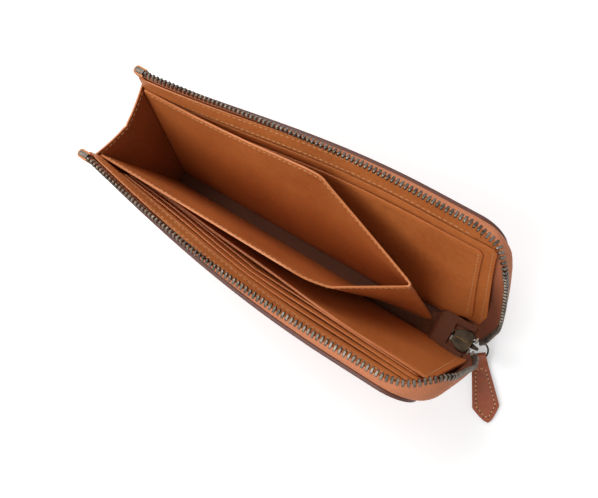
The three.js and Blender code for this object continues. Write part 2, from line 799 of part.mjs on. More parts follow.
const finishes = {
  outerLeather: { color: 0x7d3a1c, roughness: 0.5 },
  innerLeather: { color: 0xb0602f, roughness: 0.55 },
  tape: { color: 0xc07f58, roughness: 0.9 },
  teeth: { color: 0x6e6860, roughness: 0.35, metalness: 0.9 },
  stop: { color: 0x9a968f, roughness: 0.35, metalness: 0.9 },
  slider: { color: 0x3d352c, roughness: 0.4, metalness: 0.9 },
};

// The object

const wallet = new THREE.Group();

function add(parent, name, geometry, finish) {
  geometry.computeVertexNormals();
  const mesh = new THREE.Mesh(geometry, new THREE.MeshStandardMaterial(finish));
  mesh.name = name;
  parent.add(mesh);
  return mesh;
}

add(wallet, "outer_shell", outerShell(), finishes.outerLeather);
add(wallet, "spine_lining", spineLining(), finishes.innerLeather);
add(wallet, "left_gusset", gusset(), finishes.innerLeather);
add(wallet, "coin_pocket", coinPocket(), finishes.innerLeather);

for (const [name, cover] of Object.entries({ front, back })) {
  add(wallet, `${name}_lining`, lining(cover), finishes.innerLeather);
  add(wallet, `${name}_facing`, facing(cover), finishes.innerLeather);
  add(wallet, `${name}_zip_tape`, zipTape(cover, chainBow[name]), finishes.tape);
  add(wallet, `${name}_zip_teeth`, zipTeeth(cover, chainBow[name]), finishes.teeth);
  add(wallet, `${name}_top_stop`, topStop(cover), finishes.stop);
}
for (let index = 0; index < slotCount; index += 1) {
  add(wallet, `front_card_slot_${index + 1}`, cardSlot(index), finishes.innerLeather);
}
add(wallet, "front_inner_panel", frontPanel(), finishes.innerLeather);
slipPocketEnds.forEach((_, index) => {
  add(wallet, `back_slip_pocket_${index + 1}`, slipPocket(index), finishes.innerLeather);
});
add(wallet, "bottom_stop", bottomStop(), finishes.stop);

const slider = new THREE.Group();
slider.position.set(sliderTail, sliderAside, chainLevel);
wallet.add(slider);
add(slider, "slider_body", sliderBody(), finishes.slider);

const places = pullPlaces();
const ring = add(wallet, "pull_ring", pullRing(), finishes.slider);
ring.matrixAutoUpdate = false;
ring.matrix.makeBasis(places.level, places.downhill, places.level.clone().cross(places.downhill));
ring.matrix.setPosition(places.centre);

const tab = add(wallet, "pull_tab", pullTab(), finishes.outerLeather);
tab.position.copy(places.loop);
tab.rotation.z = places.heading;

export default wallet;
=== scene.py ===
# %% [markdown]
# # A long zip wallet, standing open on its spine
# The CAD model is loaded first and never moves. Every sheet of leather and tape is then laid over
# its CAD solid as a fine grid, gets its thickness from Solidify and its soft rim from Bevel. The
# zip's teeth, the slider, the ring and the sewn tab follow, each in its own cell.

import json
import math

import bmesh
import bpy
import numpy as np
from mathutils import Matrix, Vector

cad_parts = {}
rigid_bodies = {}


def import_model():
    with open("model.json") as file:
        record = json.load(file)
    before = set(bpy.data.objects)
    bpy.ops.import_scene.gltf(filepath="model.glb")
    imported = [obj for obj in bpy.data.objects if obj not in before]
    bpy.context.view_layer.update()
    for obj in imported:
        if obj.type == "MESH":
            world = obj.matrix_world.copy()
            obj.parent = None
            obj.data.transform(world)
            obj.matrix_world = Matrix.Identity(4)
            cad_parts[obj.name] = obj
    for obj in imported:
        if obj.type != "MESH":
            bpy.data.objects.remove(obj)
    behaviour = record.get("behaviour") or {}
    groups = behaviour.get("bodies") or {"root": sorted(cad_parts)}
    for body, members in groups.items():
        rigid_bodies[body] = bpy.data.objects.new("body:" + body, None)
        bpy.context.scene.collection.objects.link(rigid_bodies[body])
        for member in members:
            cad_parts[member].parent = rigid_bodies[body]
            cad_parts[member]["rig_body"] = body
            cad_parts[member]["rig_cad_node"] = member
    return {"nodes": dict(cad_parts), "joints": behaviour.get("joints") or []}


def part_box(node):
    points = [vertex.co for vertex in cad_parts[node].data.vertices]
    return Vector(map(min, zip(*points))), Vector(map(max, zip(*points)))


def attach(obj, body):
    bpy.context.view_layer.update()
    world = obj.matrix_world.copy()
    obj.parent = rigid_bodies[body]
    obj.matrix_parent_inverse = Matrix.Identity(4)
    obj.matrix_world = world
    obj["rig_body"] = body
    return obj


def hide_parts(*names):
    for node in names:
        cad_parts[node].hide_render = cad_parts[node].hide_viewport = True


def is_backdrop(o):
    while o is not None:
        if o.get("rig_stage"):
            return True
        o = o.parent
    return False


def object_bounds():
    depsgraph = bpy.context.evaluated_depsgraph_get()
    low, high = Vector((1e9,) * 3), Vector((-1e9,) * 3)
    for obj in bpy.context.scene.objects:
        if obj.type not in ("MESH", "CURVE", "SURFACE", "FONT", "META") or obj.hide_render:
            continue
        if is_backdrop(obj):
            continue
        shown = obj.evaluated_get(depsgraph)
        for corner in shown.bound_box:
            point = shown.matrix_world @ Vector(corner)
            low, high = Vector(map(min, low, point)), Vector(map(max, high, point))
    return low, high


MM = 0.001
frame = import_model()
cad_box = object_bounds()
print("CAD box", [round(value / MM, 1) for corner in cad_box for value in corner])

# %% [markdown]
# ## Camera
# The wallet is seen from well above and from its slider's end, with the camera rolled. Three
# angles and a place say that more plainly than a matrix does.

# %% Camera
EYE = Vector((126.7, -38.1, 422.1)) * MM
AZIMUTH, ELEVATION, ROLL = (math.radians(angle) for angle in (74.7, 71.6, -43.1))
PHOTO_WIDTH = 598
FOCAL_PIXELS = 817
SENSOR = 36

back_axis = Vector((
    math.sin(AZIMUTH) * math.cos(ELEVATION), -math.cos(AZIMUTH) * math.cos(ELEVATION), math.sin(ELEVATION)
))
level_axis = Vector((math.cos(AZIMUTH), math.sin(AZIMUTH), 0))
unrolled = Matrix((level_axis, back_axis.cross(level_axis), back_axis)).transposed()
camera = bpy.data.objects.new("camera", bpy.data.cameras.new("camera"))
camera.data.sensor_width = SENSOR
camera.data.lens = FOCAL_PIXELS / PHOTO_WIDTH * SENSOR
camera.matrix_world = Matrix.Translation(EYE) @ (Matrix.Rotation(ROLL, 3, back_axis) @ unrolled).to_4x4()
bpy.context.scene.collection.objects.link(camera)
bpy.context.scene.camera = camera
print("lens", round(camera.data.lens, 1))

# %% [markdown]
# ## Shader maths as Python
# A shader is a web of nodes. One small class wraps a node's output, so that a sum such as
# `1 - mask * 0.5` adds the Math nodes by itself, and one method makes every other node.

# %% Sockets that can be added and multiplied
class Signal:
    """One output of a node in a material."""

    def __init__(self, tree, socket):
        self.tree, self.socket = tree, socket

    def node(self, kind, sockets=None, output=0, **settings):
        """Adds a node: its settings first, then the values or links of its sockets."""
        made = self.tree.nodes.new(kind)
        for name, value in settings.items():
            setattr(made, name, value)
        for name, value in (sockets or {}).items():
            if isinstance(value, Signal):
                self.tree.links.new(value.socket, made.inputs[name])
            else:
                made.inputs[name].default_value = value
        return Signal(self.tree, made.outputs[output])

    def maths(self, operation, *others):
        return self.node("ShaderNodeMath", dict(enumerate((self, *others))), operation=operation)

    def swapped(self, operation, other):
        return self.node("ShaderNodeMath", {0: other, 1: self}, operation=operation)

    def __add__(self, other):
        return self.maths("ADD", other)

    def __radd__(self, other):
        return self.swapped("ADD", other)

    def __sub__(self, other):
        return self.maths("SUBTRACT", other)

    def __rsub__(self, other):
        return self.swapped("SUBTRACT", other)

    def __mul__(self, other):
        return self.maths("MULTIPLY", other)

    def __rmul__(self, other):
        return self.swapped("MULTIPLY", other)

    def __truediv__(self, other):
        return self.maths("DIVIDE", other)

    def clamped(self):
        return self.maths("MINIMUM", 1.0).maths("MAXIMUM", 0.0)

    def band(self, centre, half):
        """1 at the centre, falling to 0 at half a width away."""
        away = (self - centre).maths("ABSOLUTE") / half
        return (1 - away).maths("MAXIMUM", 0.0)

    def noise(self, scale, detail):
        """Noise over these coordinates."""
        return self.node("ShaderNodeTexNoise", {"Vector": self, "Scale": scale, "Detail": detail})

    def axis(self, index):
        """One of the three numbers of a vector."""
        return self.node("ShaderNodeSeparateXYZ", {0: self}, index)

    def mixed(self, first, second):
        """Between two colours, by this share."""
        first, second = ((*colour, 1) if isinstance(colour, tuple) else colour for colour in (first, second))
        return self.node("ShaderNodeMix", {0: self, 6: first, 7: second}, 2, data_type="RGBA")


def linear(*values):
    """A colour that is written as a screen shows it, from 0 to 255."""
    return tuple((value / 255 / 12.92) if value < 11 else ((value / 255 + 0.055) / 1.055) ** 2.4 for value in values)


def finish(name, roughness, metallic=0.0, coat=0.0):
    """A new material: its shader, and a Signal with a point's place to start the maths from."""
    material = bpy.data.materials.new(name)
    material.use_nodes = True
    shader = material.node_tree.nodes["Principled BSDF"]
    shader.inputs["Roughness"].default_value = roughness
    shader.inputs["Metallic"].default_value = metallic
    shader.inputs["Coat Weight"].default_value = coat
    return material, shader, Signal(material.node_tree, None).node("ShaderNodeTexCoord", output="Object")


def feed(shader, name, signal):
    shader.id_data.links.new(signal.socket, shader.inputs[name])


def emboss(shader, height, depth, strength):
    feed(shader, "Normal", height.node("ShaderNodeBump", {"Height": height, "Distance": depth, "Strength": strength}))


# %% [markdown]
# ## Leather
# Smooth calf leather has a slow change of tone over centimetres, a fine mottle, and a grain of
# cells about half a millimetre across that only the bump shows. The UV map of each sheet holds
# real metres: along the sheet, and down from its upper edge. That lets the material draw the line
# that a hot iron presses beside a turned edge.

# %% Leather and its edges
GRAIN_CELL = 0.55 * MM
CREASE_FROM_EDGE = 4.4 * MM
CREASE_HALF = 0.35 * MM
TURNED_EDGE = 1.1 * MM


def leather(name, bright, deep, roughness, creased=True):
    material, shader, here = finish(name, roughness)
    cloud, mottle = here.noise(22.0, 2.0), here.noise(420.0, 4.0)
    cells = here.node("ShaderNodeTexVoronoi", {"Vector": here, "Scale": 1 / GRAIN_CELL})
    height = 0.55 * cells + 0.45 * here.noise(2.4 / GRAIN_CELL, 2.0)
    tone = (cloud - 0.5) * 1.3 + (mottle - 0.5) * 0.9 + 0.5
    colour = tone.clamped().mixed(deep, bright)
    if creased:
        down = here.node("ShaderNodeUVMap", uv_map="cut").axis(1)
        crease = down.band(CREASE_FROM_EDGE, CREASE_HALF)
        colour = (crease * 0.35).mixed(colour, tuple(0.45 * value for value in deep))
        turned = down.band(0.0, TURNED_EDGE)
        colour = (turned * 0.25).mixed(colour, tuple(min(1, 1.35 * value) for value in bright))
        height = height - 2.2 * crease
    feed(shader, "Base Color", colour)
    feed(shader, "Roughness", roughness - 0.08 + 0.16 * mottle)
    emboss(shader, height, 0.07 * MM, 0.75)
    return material


TAN = linear(206, 125, 64)
TAN_DEEP = linear(168, 91, 41)
CHESTNUT = linear(160, 77, 34)
CHESTNUT_DEEP = linear(118, 51, 20)
inner_leather = leather("inner leather", TAN, TAN_DEEP, 0.5)
# The gusset's leather is a darker tan than the inner leather, as painted shade: the gusset faces away from the lamps.
shaded_gusset_leather = leather("gusset leather, painted darker for shade", linear(158, 86, 42), linear(112, 58, 26), 0.55)
plain_leather = leather("inner leather, uncreased", TAN, TAN_DEEP, 0.52, creased=False)
outer_leather = leather("outer leather", CHESTNUT, CHESTNUT_DEEP, 0.42, creased=False)


def edge_finish(name, bright, deep, roughness):
    """The cut or turned edge of a sheet: streaks along it, and a little gloss."""
    material, shader, here = finish(name, roughness, coat=0.06)
    streak = here.noise(900.0, 3.0)
    feed(shader, "Base Color", streak.mixed(deep, bright))
    emboss(shader, streak, 0.05 * MM, 0.6)
    return material


suede = leather("suede floor", linear(104, 54, 23), linear(70, 34, 13), 0.8, creased=False)
turned_edge = edge_finish("turned edge", linear(206, 130, 74), linear(176, 100, 52), 0.5)
painted_edge = edge_finish("painted edge", linear(94, 43, 24), linear(58, 26, 14), 0.55)

# %% [markdown]
# ## Thread, tape and metals
# The thread is a pale waxed linen with a fine twist. The zip's tape is woven in a herringbone:
# diagonal ribs that turn back every millimetre or so, drawn from the UV map that runs along the
# tape. The metals are plated brass: dark where it is handled least, brighter on worn edges.
# Near the slider's end the tape's colour is darkened, as painted shade.

# %% Thread, tape and metals
thread, shader, here = finish("waxed thread", 0.6)
feed(shader, "Base Color", here.noise(3000.0, 2.0).mixed(linear(190, 138, 88), linear(228, 186, 138)))
# The awl holes are near-black balls: painted shade for the dark inside of each hole.
painted_hole_shade = edge_finish("painted shade of an awl hole", linear(40, 20, 12), linear(20, 10, 6), 0.8)

RIB_PITCH = 0.5 * MM
RIB_TURN = 1.3 * MM
# Painted shade: the tape is darker low down at the slider's end, where the slider folds it in and shades it.
TAPE_SHADE_FROM, TAPE_SHADE_TOP, TAPE_SHADE_FADE = 66 * MM, 66 * MM, 14 * MM
TAPE_SHADE_SHARE = 0.85
tape_weave, shader, here = finish("woven tape", 0.85)
cut = here.node("ShaderNodeUVMap", uv_map="cut")
along, across = cut.axis(0), cut.axis(1)
zigzag = (across / RIB_TURN).maths("PINGPONG", 1.0) * RIB_TURN
rib = ((along + zigzag) / RIB_PITCH).maths("PINGPONG", 1.0)
yarn = (across / (RIB_PITCH * 0.6)).maths("PINGPONG", 1.0)
weave = rib * 0.65 + yarn * 0.15 + cut.noise(1500.0, 3.0) * 0.2
colour = weave.mixed(linear(162, 88, 54), linear(216, 141, 99))
# Painted shade: a mask near the slider's end and low down darkens the weave's colour.
near = ((here.axis(0) - TAPE_SHADE_FROM) / TAPE_SHADE_FADE).clamped()
low = ((TAPE_SHADE_TOP - here.axis(2)) / TAPE_SHADE_FADE / 2).clamped()
feed(shader, "Base Color", (near * low * TAPE_SHADE_SHARE).mixed(colour, linear(88, 40, 20)))
emboss(shader, weave, 0.12 * MM, 0.8)


def metal(name, bright, dark, roughness, worn=0.5):
    """Plated metal: darker in patches, and fine scratches in its gloss."""
    material, shader, here = finish(name, roughness, metallic=1.0)
    patch, fine = here.noise(260.0, 4.0), here.noise(2600.0, 2.0)
    feed(shader, "Base Color", ((patch - 0.5) * 2.2 + worn).clamped().mixed(dark, bright))
    feed(shader, "Roughness", roughness - 0.1 + 0.2 * fine)
    emboss(shader, fine, 0.02 * MM, 0.4)
    return material


tooth_metal = metal("antique nickel teeth", linear(130, 121, 110), linear(66, 59, 52), 0.42)
stop_metal = metal("satin nickel stops", linear(126, 117, 107), linear(84, 76, 68), 0.48)
bronze = metal("dark bronze", linear(72, 61, 48), linear(44, 37, 30), 0.48)
brass_edge = metal("worn brass edge", linear(172, 132, 78), linear(118, 86, 46), 0.36, 0.6)
print(len(bpy.data.materials), "materials")

# %% [markdown]
# ## The covers' shape
# The two covers are one folded strip. They twist: nearly upright at the gusset and leaning out at
# the slider's end. One formula gives any point of a cover from its place along the spine, its
# height up the slope and its depth in from the outer face, and every layer is laid with it.

# %% Places on the covers
box_low, box_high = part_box("outer_shell")
LEFT, RIGHT = box_low.x, box_high.x
LENGTH = RIGHT - LEFT
COVER_HEIGHT = 94.2 * MM
SPINE_WIDTH = 23 * MM
CORNER_RADIUS = 15 * MM
FOLD_RADIUS = 3 * MM
OUTER_LEATHER = 1.6 * MM
FULLY_OPEN_AT = 0.8
FRONT = {"side": -1, "gusset": 7.3, "open": 18.8, "curve": 1.0}
BACK = {"side": 1, "gusset": 8.3, "open": 18.9, "curve": 1.5}

GAP = 0.3 * MM
TAPE_THICKNESS = 0.6 * MM
THIN_LEATHER = 0.6 * MM
PANEL_LEATHER = 1.0 * MM
PARED_SHARE, PARE_LENGTH = 0.42, 60 * MM
SEAM_DEPTH = OUTER_LEATHER + GAP
LINING_DEPTH = SEAM_DEPTH + TAPE_THICKNESS + GAP
FIRST_DEPTH = LINING_DEPTH + THIN_LEATHER + GAP
LINING_INSET = 3 * MM
EDGE_TOP = COVER_HEIGHT - LINING_INSET
CORNER_START = RIGHT - CORNER_RADIUS


def lerp(a, b, share):
    return a + (b - a) * share


def clamp(value, low=0.0, high=1.0):
    return min(max(value, low), high)


def smoothstep(value, low, high):
    share = clamp((value - low) / (high - low))
    return share * share * (3 - 2 * share)


def lean_at(cover, x):
    along = clamp((x - LEFT) / LENGTH / FULLY_OPEN_AT)
    return math.radians(lerp(cover["gusset"], cover["open"], math.sin(along * math.pi / 2) ** cover["curve"]))


def pared(x, depth):
    """Depths past the lining shrink towards the gusset, where the leather is pared thin."""
    base = LINING_DEPTH + THIN_LEATHER
    share = lerp(PARED_SHARE, 1, smoothstep(x, LEFT, LEFT + PARE_LENGTH))
    return min(depth, base) + max(depth - base, 0) * share


def on_cover(cover, x, height, depth):
    lean = lean_at(cover, x)
    depth = pared(x, depth)
    out = SPINE_WIDTH / 2 + height * math.sin(lean) - depth * math.cos(lean)
    return Vector((x, cover["side"] * out, height * math.cos(lean) + depth * math.sin(lean)))


def inner_reach(cover, x, level, depth):
    """How far the space inside a cover reaches from the middle, at a level."""
    lean = lean_at(cover, x)
    return SPINE_WIDTH / 2 + level * math.tan(lean) - pared(x, depth) / math.cos(lean)


def corner_drop(x, end, radius):
    past = clamp(x - (end - radius), 0, radius)
    return radius - math.sqrt(radius * radius - past * past)


def smooth_line(points, tension):
    """A curve through points, by Catmull and Rom's formula, as a function of a share from 0 to 1."""
    ends = [2 * points[0] - points[1], *points, 2 * points[-1] - points[-2]]

    def at(share):
        place = clamp(share) * (len(points) - 1)
        i = min(int(place), len(points) - 2)
        w = place - i
        before, a, b, after = ends[i : i + 4]
        start_pull, end_pull = tension * (b - before), tension * (after - a)
        square = -3 * a + 3 * b - 2 * start_pull - end_pull
        cube = 2 * a - 2 * b + start_pull + end_pull
        return a + start_pull * w + square * (w * w) + cube * (w * w * w)

    return at


print("cover from", round(LEFT / MM), "to", round(RIGHT / MM), "mm")

# %% [markdown]
# ## How a sheet is laid
# A flat grid is added, and each of its points is moved to the place that a function gives for its
# shares along and up the sheet. The UV map is then written in metres, measured over the laid
# sheet, before Solidify gives the thickness and Bevel rounds the rim. The rim has its own
# material, because a cut or turned edge never looks like the face.

# %% Helpers for sheets
def only(piece):
    """Makes one piece the only selected and active one."""
    bpy.ops.object.select_all(action="DESELECT")
    piece.select_set(True)
    bpy.context.view_layer.objects.active = piece


def apply(piece, kind, **settings):
    only(piece)
    modifier = piece.modifiers.new(kind.lower(), kind)
    for name, value in settings.items():
        setattr(modifier, name, value)
    bpy.ops.object.modifier_apply(modifier=modifier.name)


def bevel(piece, width, segments, angle):
    apply(piece, "BEVEL", width=width, segments=segments, limit_method="ANGLE", angle_limit=math.radians(angle))


def smooth(piece, angle=40):
    only(piece)
    bpy.ops.object.shade_smooth_by_angle(angle=math.radians(angle))


def carried(piece, slot, *nodes, body="root"):
    """The finished piece stands for its CAD nodes and rides with their body."""
    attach(piece, body)
    if nodes:
        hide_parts(*nodes)
    print(piece.name, len(piece.data.polygons), "faces")
    return piece


def fresh(name, primitive, **settings):
    """What one of Blender's primitives adds, under its own name."""
    bpy.ops.object.select_all(action="DESELECT")
    getattr(bpy.ops.mesh, f"primitive_{primitive}_add")(**settings)
    piece = bpy.context.object
    piece.name = piece.data.name = name
    return piece


def laid_grid(name, place, columns, rows):
    piece = fresh(name, "grid", x_subdivisions=columns, y_subdivisions=rows, size=1)
    mesh = piece.data
    steps = [(round((v.co.x + 0.5) * columns), round((v.co.y + 0.5) * rows)) for v in mesh.vertices]
    points = np.array([[place(i / columns, j / rows) for j in range(rows + 1)] for i in range(columns + 1)])
    along = np.linalg.norm(np.diff(points, axis=0, prepend=points[:1]), axis=2).cumsum(axis=0)
    down = np.linalg.norm(np.diff(points[:, ::-1], axis=1, prepend=points[:, -1:]), axis=2).cumsum(axis=1)[:, ::-1]
    for vertex, (i, j) in zip(mesh.vertices, steps):
        vertex.co = points[i, j]
    cut = mesh.uv_layers.active
    cut.name = "cut"
    for loop in mesh.loops:
        i, j = steps[loop.vertex_index]
        cut.data[loop.index].uv = (along[i, j], down[i, j])
    mesh.update()
    return piece


def sheet_piece(name, place, columns, rows, thickness, face, rim, rounding=0.22 * MM):
    piece = laid_grid(name, place, columns, rows)
    piece.data.materials.append(face)
    piece.data.materials.append(rim)
    apply(piece, "SOLIDIFY", thickness=thickness, offset=0, use_even_offset=True, material_offset_rim=1)
    bevel(piece, min(rounding, thickness * 0.4), 2, 60)
    smooth(piece)
    return piece


# %% [markdown]
# ## The outer cover
# The cover is one strip of chestnut leather, folded twice to make the spine. Its cross-section is
# two slopes joined by two small rounds. The grid's rows run from one cover's top edge, over the
# spine, to the other's, and its columns close up round the free corners. The edge is painted dark.

# %% Outer cover
FOLD_STEPS = 8
WALL_STEPS = 16
STRAIGHT_SHARE = 0.8


def half_section(cover, x, depth):
    """One side's points, from the middle of the spine's fold up to the cover's edge."""
    turn = math.pi / 2 - lean_at(cover, x)
    tangent = FOLD_RADIUS * math.tan(turn / 2)
    points = []
    for i in range(FOLD_STEPS + 1):
        angle = i / FOLD_STEPS * turn
        out = SPINE_WIDTH / 2 - tangent + (FOLD_RADIUS - depth) * math.sin(angle)
        up = FOLD_RADIUS - (FOLD_RADIUS - depth) * math.cos(angle)
        points.append(Vector((x, cover["side"] * out, up)))
    top = COVER_HEIGHT - corner_drop(x, RIGHT, CORNER_RADIUS)
    for i in range(1, WALL_STEPS + 1):
        points.append(on_cover(cover, x, lerp(tangent, top, i / WALL_STEPS), depth))
    return points


def closing_up(share, start, end, radius):
    """A place along a layer: even steps, then closer and closer ones round the corner."""
    if share <= STRAIGHT_SHARE:
        return lerp(start, end - radius, share / STRAIGHT_SHARE)
    return end - radius + radius * math.sin((share - STRAIGHT_SHARE) / (1 - STRAIGHT_SHARE) * math.pi / 2)


COVER_COLUMNS = 90
SPINE_STEPS = 4
sections = []
for i in range(COVER_COLUMNS + 1):
    x = closing_up(i / COVER_COLUMNS, LEFT, RIGHT, CORNER_RADIUS)
    down, up = half_section(FRONT, x, OUTER_LEATHER / 2), half_section(BACK, x, OUTER_LEATHER / 2)
    spine = [down[0].lerp(up[0], j / SPINE_STEPS) for j in range(1, SPINE_STEPS)]
    sections.append([*reversed(down), *spine, *up])
section_steps = len(sections[0]) - 1


def cover_place(along, up):
    return sections[round(along * COVER_COLUMNS)][round(up * section_steps)]


cover_piece = sheet_piece(
    "cover_leather", cover_place, COVER_COLUMNS, section_steps, OUTER_LEATHER, outer_leather, painted_edge, 0.4 * MM
)
carried(cover_piece, "outer_leather", "outer_shell")

# %% [markdown]
# ## Pockets, panels and linings
# Inside each cover lie thin sheets with rounded corners: the lining, the strip that hides the
# tape's sewn edge, four card pockets whose tops step down, and the wall in front of them. A used
# pocket never lies quite flat, so each mouth gapes a little in the middle.

# %% Layers inside the covers
FOOT_HEIGHT = 6 * MM
FOOT_RADIUS = 20 * MM
FOOT_CORNER = 7 * MM
FOOT_RISE, FOOT_RISE_FROM, FOOT_RISE_TO = 5.6 * MM, RIGHT - 20 * MM, RIGHT - 12 * MM
FACING_WIDTH = 9 * MM
FACING_LIFT = 2.2 * MM
SLOT_START = 16 * MM
SLOT_STEP = 4 * MM
SLOT_END, SLOT_END_STEP = 1 * MM, 1.2 * MM
SLOT_PITCH = THIN_LEATHER + GAP
SLOT_TOPS = [EDGE_TOP - FACING_WIDTH - GAP - i * SLOT_STEP for i in range(4)]
POCKET_CORNER = 3 * MM
PANEL_HEIGHT = 70 * MM
SLIP_DROP, SLIP_STEP = 13 * MM, 5 * MM
SLIP_TOPS = [EDGE_TOP - SLIP_DROP + LINING_INSET - i * SLIP_STEP for i in range(2)]
SLIP_ENDS = (2.5 * MM, 8 * MM)
INNER_START = LEFT + 2 * MM + 0.9 * MM + GAP
NARROWEST_SHEET = 10 * MM
SLOT_GAPE, SLIP_GAPE, PANEL_GAPE = 0.3 * MM, 0.3 * MM, 1.6 * MM
PANEL_END, PANEL_SLANT = 0.5 * MM, 5 * MM
SLIP_SLANTS = (7 * MM, 4.5 * MM)
SLANT_LENGTH = 30 * MM
RIPPLE, RIPPLE_LENGTH = 0.35, 17 * MM
LAYER_COLUMNS, LAYER_ROWS = 72, 14
CURL = 0.04 / MM
# The share of a corner's square that rounding it cuts off.
ROUND_LOSS = 0.215


def curl(x):
    """Past the cover's side edge a layer bends inwards, because the slider draws it in."""
    return CURL * max(0, x - RIGHT + 2 * MM) ** 2


def mouth_wave(x, start, end, columns):
    """1 in the middle of each mouth, 0 at its ends and at the seam between two columns."""
    share = clamp((x - start) / (end - start)) if columns == 1 else clamp(x / (end if x > 0 else start))
    return math.sin(math.pi * share) ** 0.8


def add_layer(name, node, cover, start, end, low, top, corner, foot, depth, thickness, gape=0.0, columns=1,
              slant=0.0, face=inner_leather):
    """A sheet laid on the inside of a cover.

    gape is how far its mouth stands off in the middle, and slant how far its end reaches
    further at its foot than at its mouth.
    """
    middle = depth + thickness / 2
    rise = FOOT_RISE if foot == FOOT_CORNER else 0

    def place(along, up):
        x = closing_up(along, start, end, max(corner, foot))
        lowest = low + rise * smoothstep(x, FOOT_RISE_FROM, FOOT_RISE_TO) + corner_drop(x, end, foot)
        height = lerp(lowest, top - corner_drop(x, end, corner), up)
        off = gape * up**4 * mouth_wave(x, start, end, columns)
        ripple = 1 + RIPPLE * math.sin(x / RIPPLE_LENGTH + depth / MM)
        x += slant * (1 - up) ** 1.4 * smoothstep(x, end - SLANT_LENGTH, end)
        return on_cover(cover, x, height, middle + off * ripple + curl(x))

    piece = sheet_piece(name, place, LAYER_COLUMNS, LAYER_ROWS, thickness, face, turned_edge)
    carried(piece, "inner_leather", node)
    flat = (top - low, end - start)
    area = flat[1] * flat[0] - ROUND_LOSS * (corner**2 + foot**2)
    min(flat) >= NARROWEST_SHEET


for side, cover in {"front": FRONT, "back": BACK}.items():
    add_layer(
        f"{side}_lining_leather", f"{side}_lining", cover=cover, start=INNER_START, end=RIGHT - LINING_INSET,
        low=FOOT_HEIGHT, top=EDGE_TOP, corner=CORNER_RADIUS - LINING_INSET, foot=FOOT_RADIUS,
        depth=LINING_DEPTH, thickness=THIN_LEATHER, face=plain_leather,
    )
    add_layer(
        f"{side}_facing_strip", f"{side}_facing", cover=cover, start=INNER_START, end=CORNER_START + LINING_INSET,
        low=EDGE_TOP - FACING_WIDTH, top=EDGE_TOP + FACING_LIFT, corner=LINING_INSET, foot=LINING_INSET,
        depth=FIRST_DEPTH, thickness=THIN_LEATHER, face=plain_leather,
    )
for i, top in enumerate(SLOT_TOPS):
    add_layer(
        f"card_pocket_{i + 1}", f"front_card_slot_{i + 1}", cover=FRONT, start=LEFT + SLOT_START,
        end=RIGHT - SLOT_END - i * SLOT_END_STEP, low=FOOT_HEIGHT + i * GAP, top=top, corner=POCKET_CORNER,
        foot=FOOT_CORNER, depth=FIRST_DEPTH + i * SLOT_PITCH, thickness=THIN_LEATHER, gape=SLOT_GAPE * (i + 1),
        columns=2,
    )
add_layer(
    "inner_panel_leather", "front_inner_panel", cover=FRONT, start=LEFT + SLOT_START, end=RIGHT + PANEL_END,
    low=FOOT_HEIGHT + 4 * GAP, top=PANEL_HEIGHT, corner=POCKET_CORNER, foot=FOOT_CORNER,
    depth=FIRST_DEPTH + 4 * SLOT_PITCH, thickness=PANEL_LEATHER, gape=PANEL_GAPE, slant=PANEL_SLANT,
)
for i, (top, end, slant) in enumerate(zip(SLIP_TOPS, SLIP_ENDS, SLIP_SLANTS)):
    add_layer(
        f"slip_pocket_{i + 1}", f"back_slip_pocket_{i + 1}", cover=BACK, start=LEFT + SLOT_START,
        end=RIGHT - end, low=FOOT_HEIGHT + i * GAP, top=top, corner=POCKET_CORNER, foot=FOOT_CORNER,
        depth=FIRST_DEPTH + i * SLOT_PITCH, thickness=THIN_LEATHER, gape=SLIP_GAPE * (i + 1), slant=slant,
    )

# %% [markdown]
# ## Floor of the spine
# A narrow strip lines the spine, under the coin pocket. Only its slider end is seen.

# %% Spine lining
strip_low, strip_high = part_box("spine_lining")
strip_middle = (strip_low.z + strip_high.z) / 2


def strip_place(along, up):
    y = lerp(strip_low.y, strip_high.y, up)
    return Vector((lerp(strip_low.x, strip_high.x, along), y, strip_middle + 0.15 * MM * math.cos(y / (5 * MM))))


strip = sheet_piece("spine_strip", strip_place, 60, 8, THIN_LEATHER, suede, turned_edge)
carried(strip, "inner_leather", "spine_lining")

# %% [markdown]
# ## The gusset
# The folded wall at the closed end. It hangs between the covers and folds inwards in its middle,
# most at the top. Its rim rises a little to the covers, and a small pinch ends the fold.

# %% Gusset
GUSSET_HEIGHT = 83 * MM
GUSSET_LEATHER = 0.9 * MM
GUSSET_INSET = 2 * MM
GUSSET_CREASE = 2.6 * MM
GUSSET_BELLY = 0.35 * MM
PINCH, PINCH_HALF, PINCH_FROM = 0.5 * MM, 0.05, 0.82
RIM_CORNER, RIM_CORNER_OUT = 3 * MM, 0.9 * MM
FOLD_SOFTNESS = 0.14
gusset_low = OUTER_LEATHER + GAP


def gusset_place(along, up):
    share = 2 * along - 1
    cover = FRONT if share < 0 else BACK
    raised = up**3 * share * share
    level = lerp(gusset_low, GUSSET_HEIGHT, up) + RIM_CORNER * raised
    reach = inner_reach(cover, LEFT, level, OUTER_LEATHER) - GAP - OUTER_LEATHER / 4
    from_fold = math.hypot(share, FOLD_SOFTNESS) - FOLD_SOFTNESS
    crease = GUSSET_CREASE * up * (1 - from_fold) ** 1.2
    belly = GUSSET_BELLY * math.sin(math.pi * abs(share)) * math.sin(math.pi * up)
    pinch = PINCH * math.exp(-((share / PINCH_HALF) ** 2)) * smoothstep(up, PINCH_FROM, 1)
    x = LEFT + GUSSET_INSET + GUSSET_LEATHER / 2 + crease - belly + pinch
    return Vector((x - RIM_CORNER_OUT * raised, share * reach, level))


gusset = sheet_piece("gusset_leather", gusset_place, 48, 28, GUSSET_LEATHER, shaded_gusset_leather, turned_edge)
carried(gusset, "inner_leather", "left_gusset")

# %% [markdown]
# ## The coin pocket
# One long strip stands in the middle: along the front, round a soft bend, back on itself in a
# sharp fold at its tip, and home to the gusset. Two smooth curves, for its upper edge and its
# foot, carry it. Each station gives the shares of its length, half width and height.

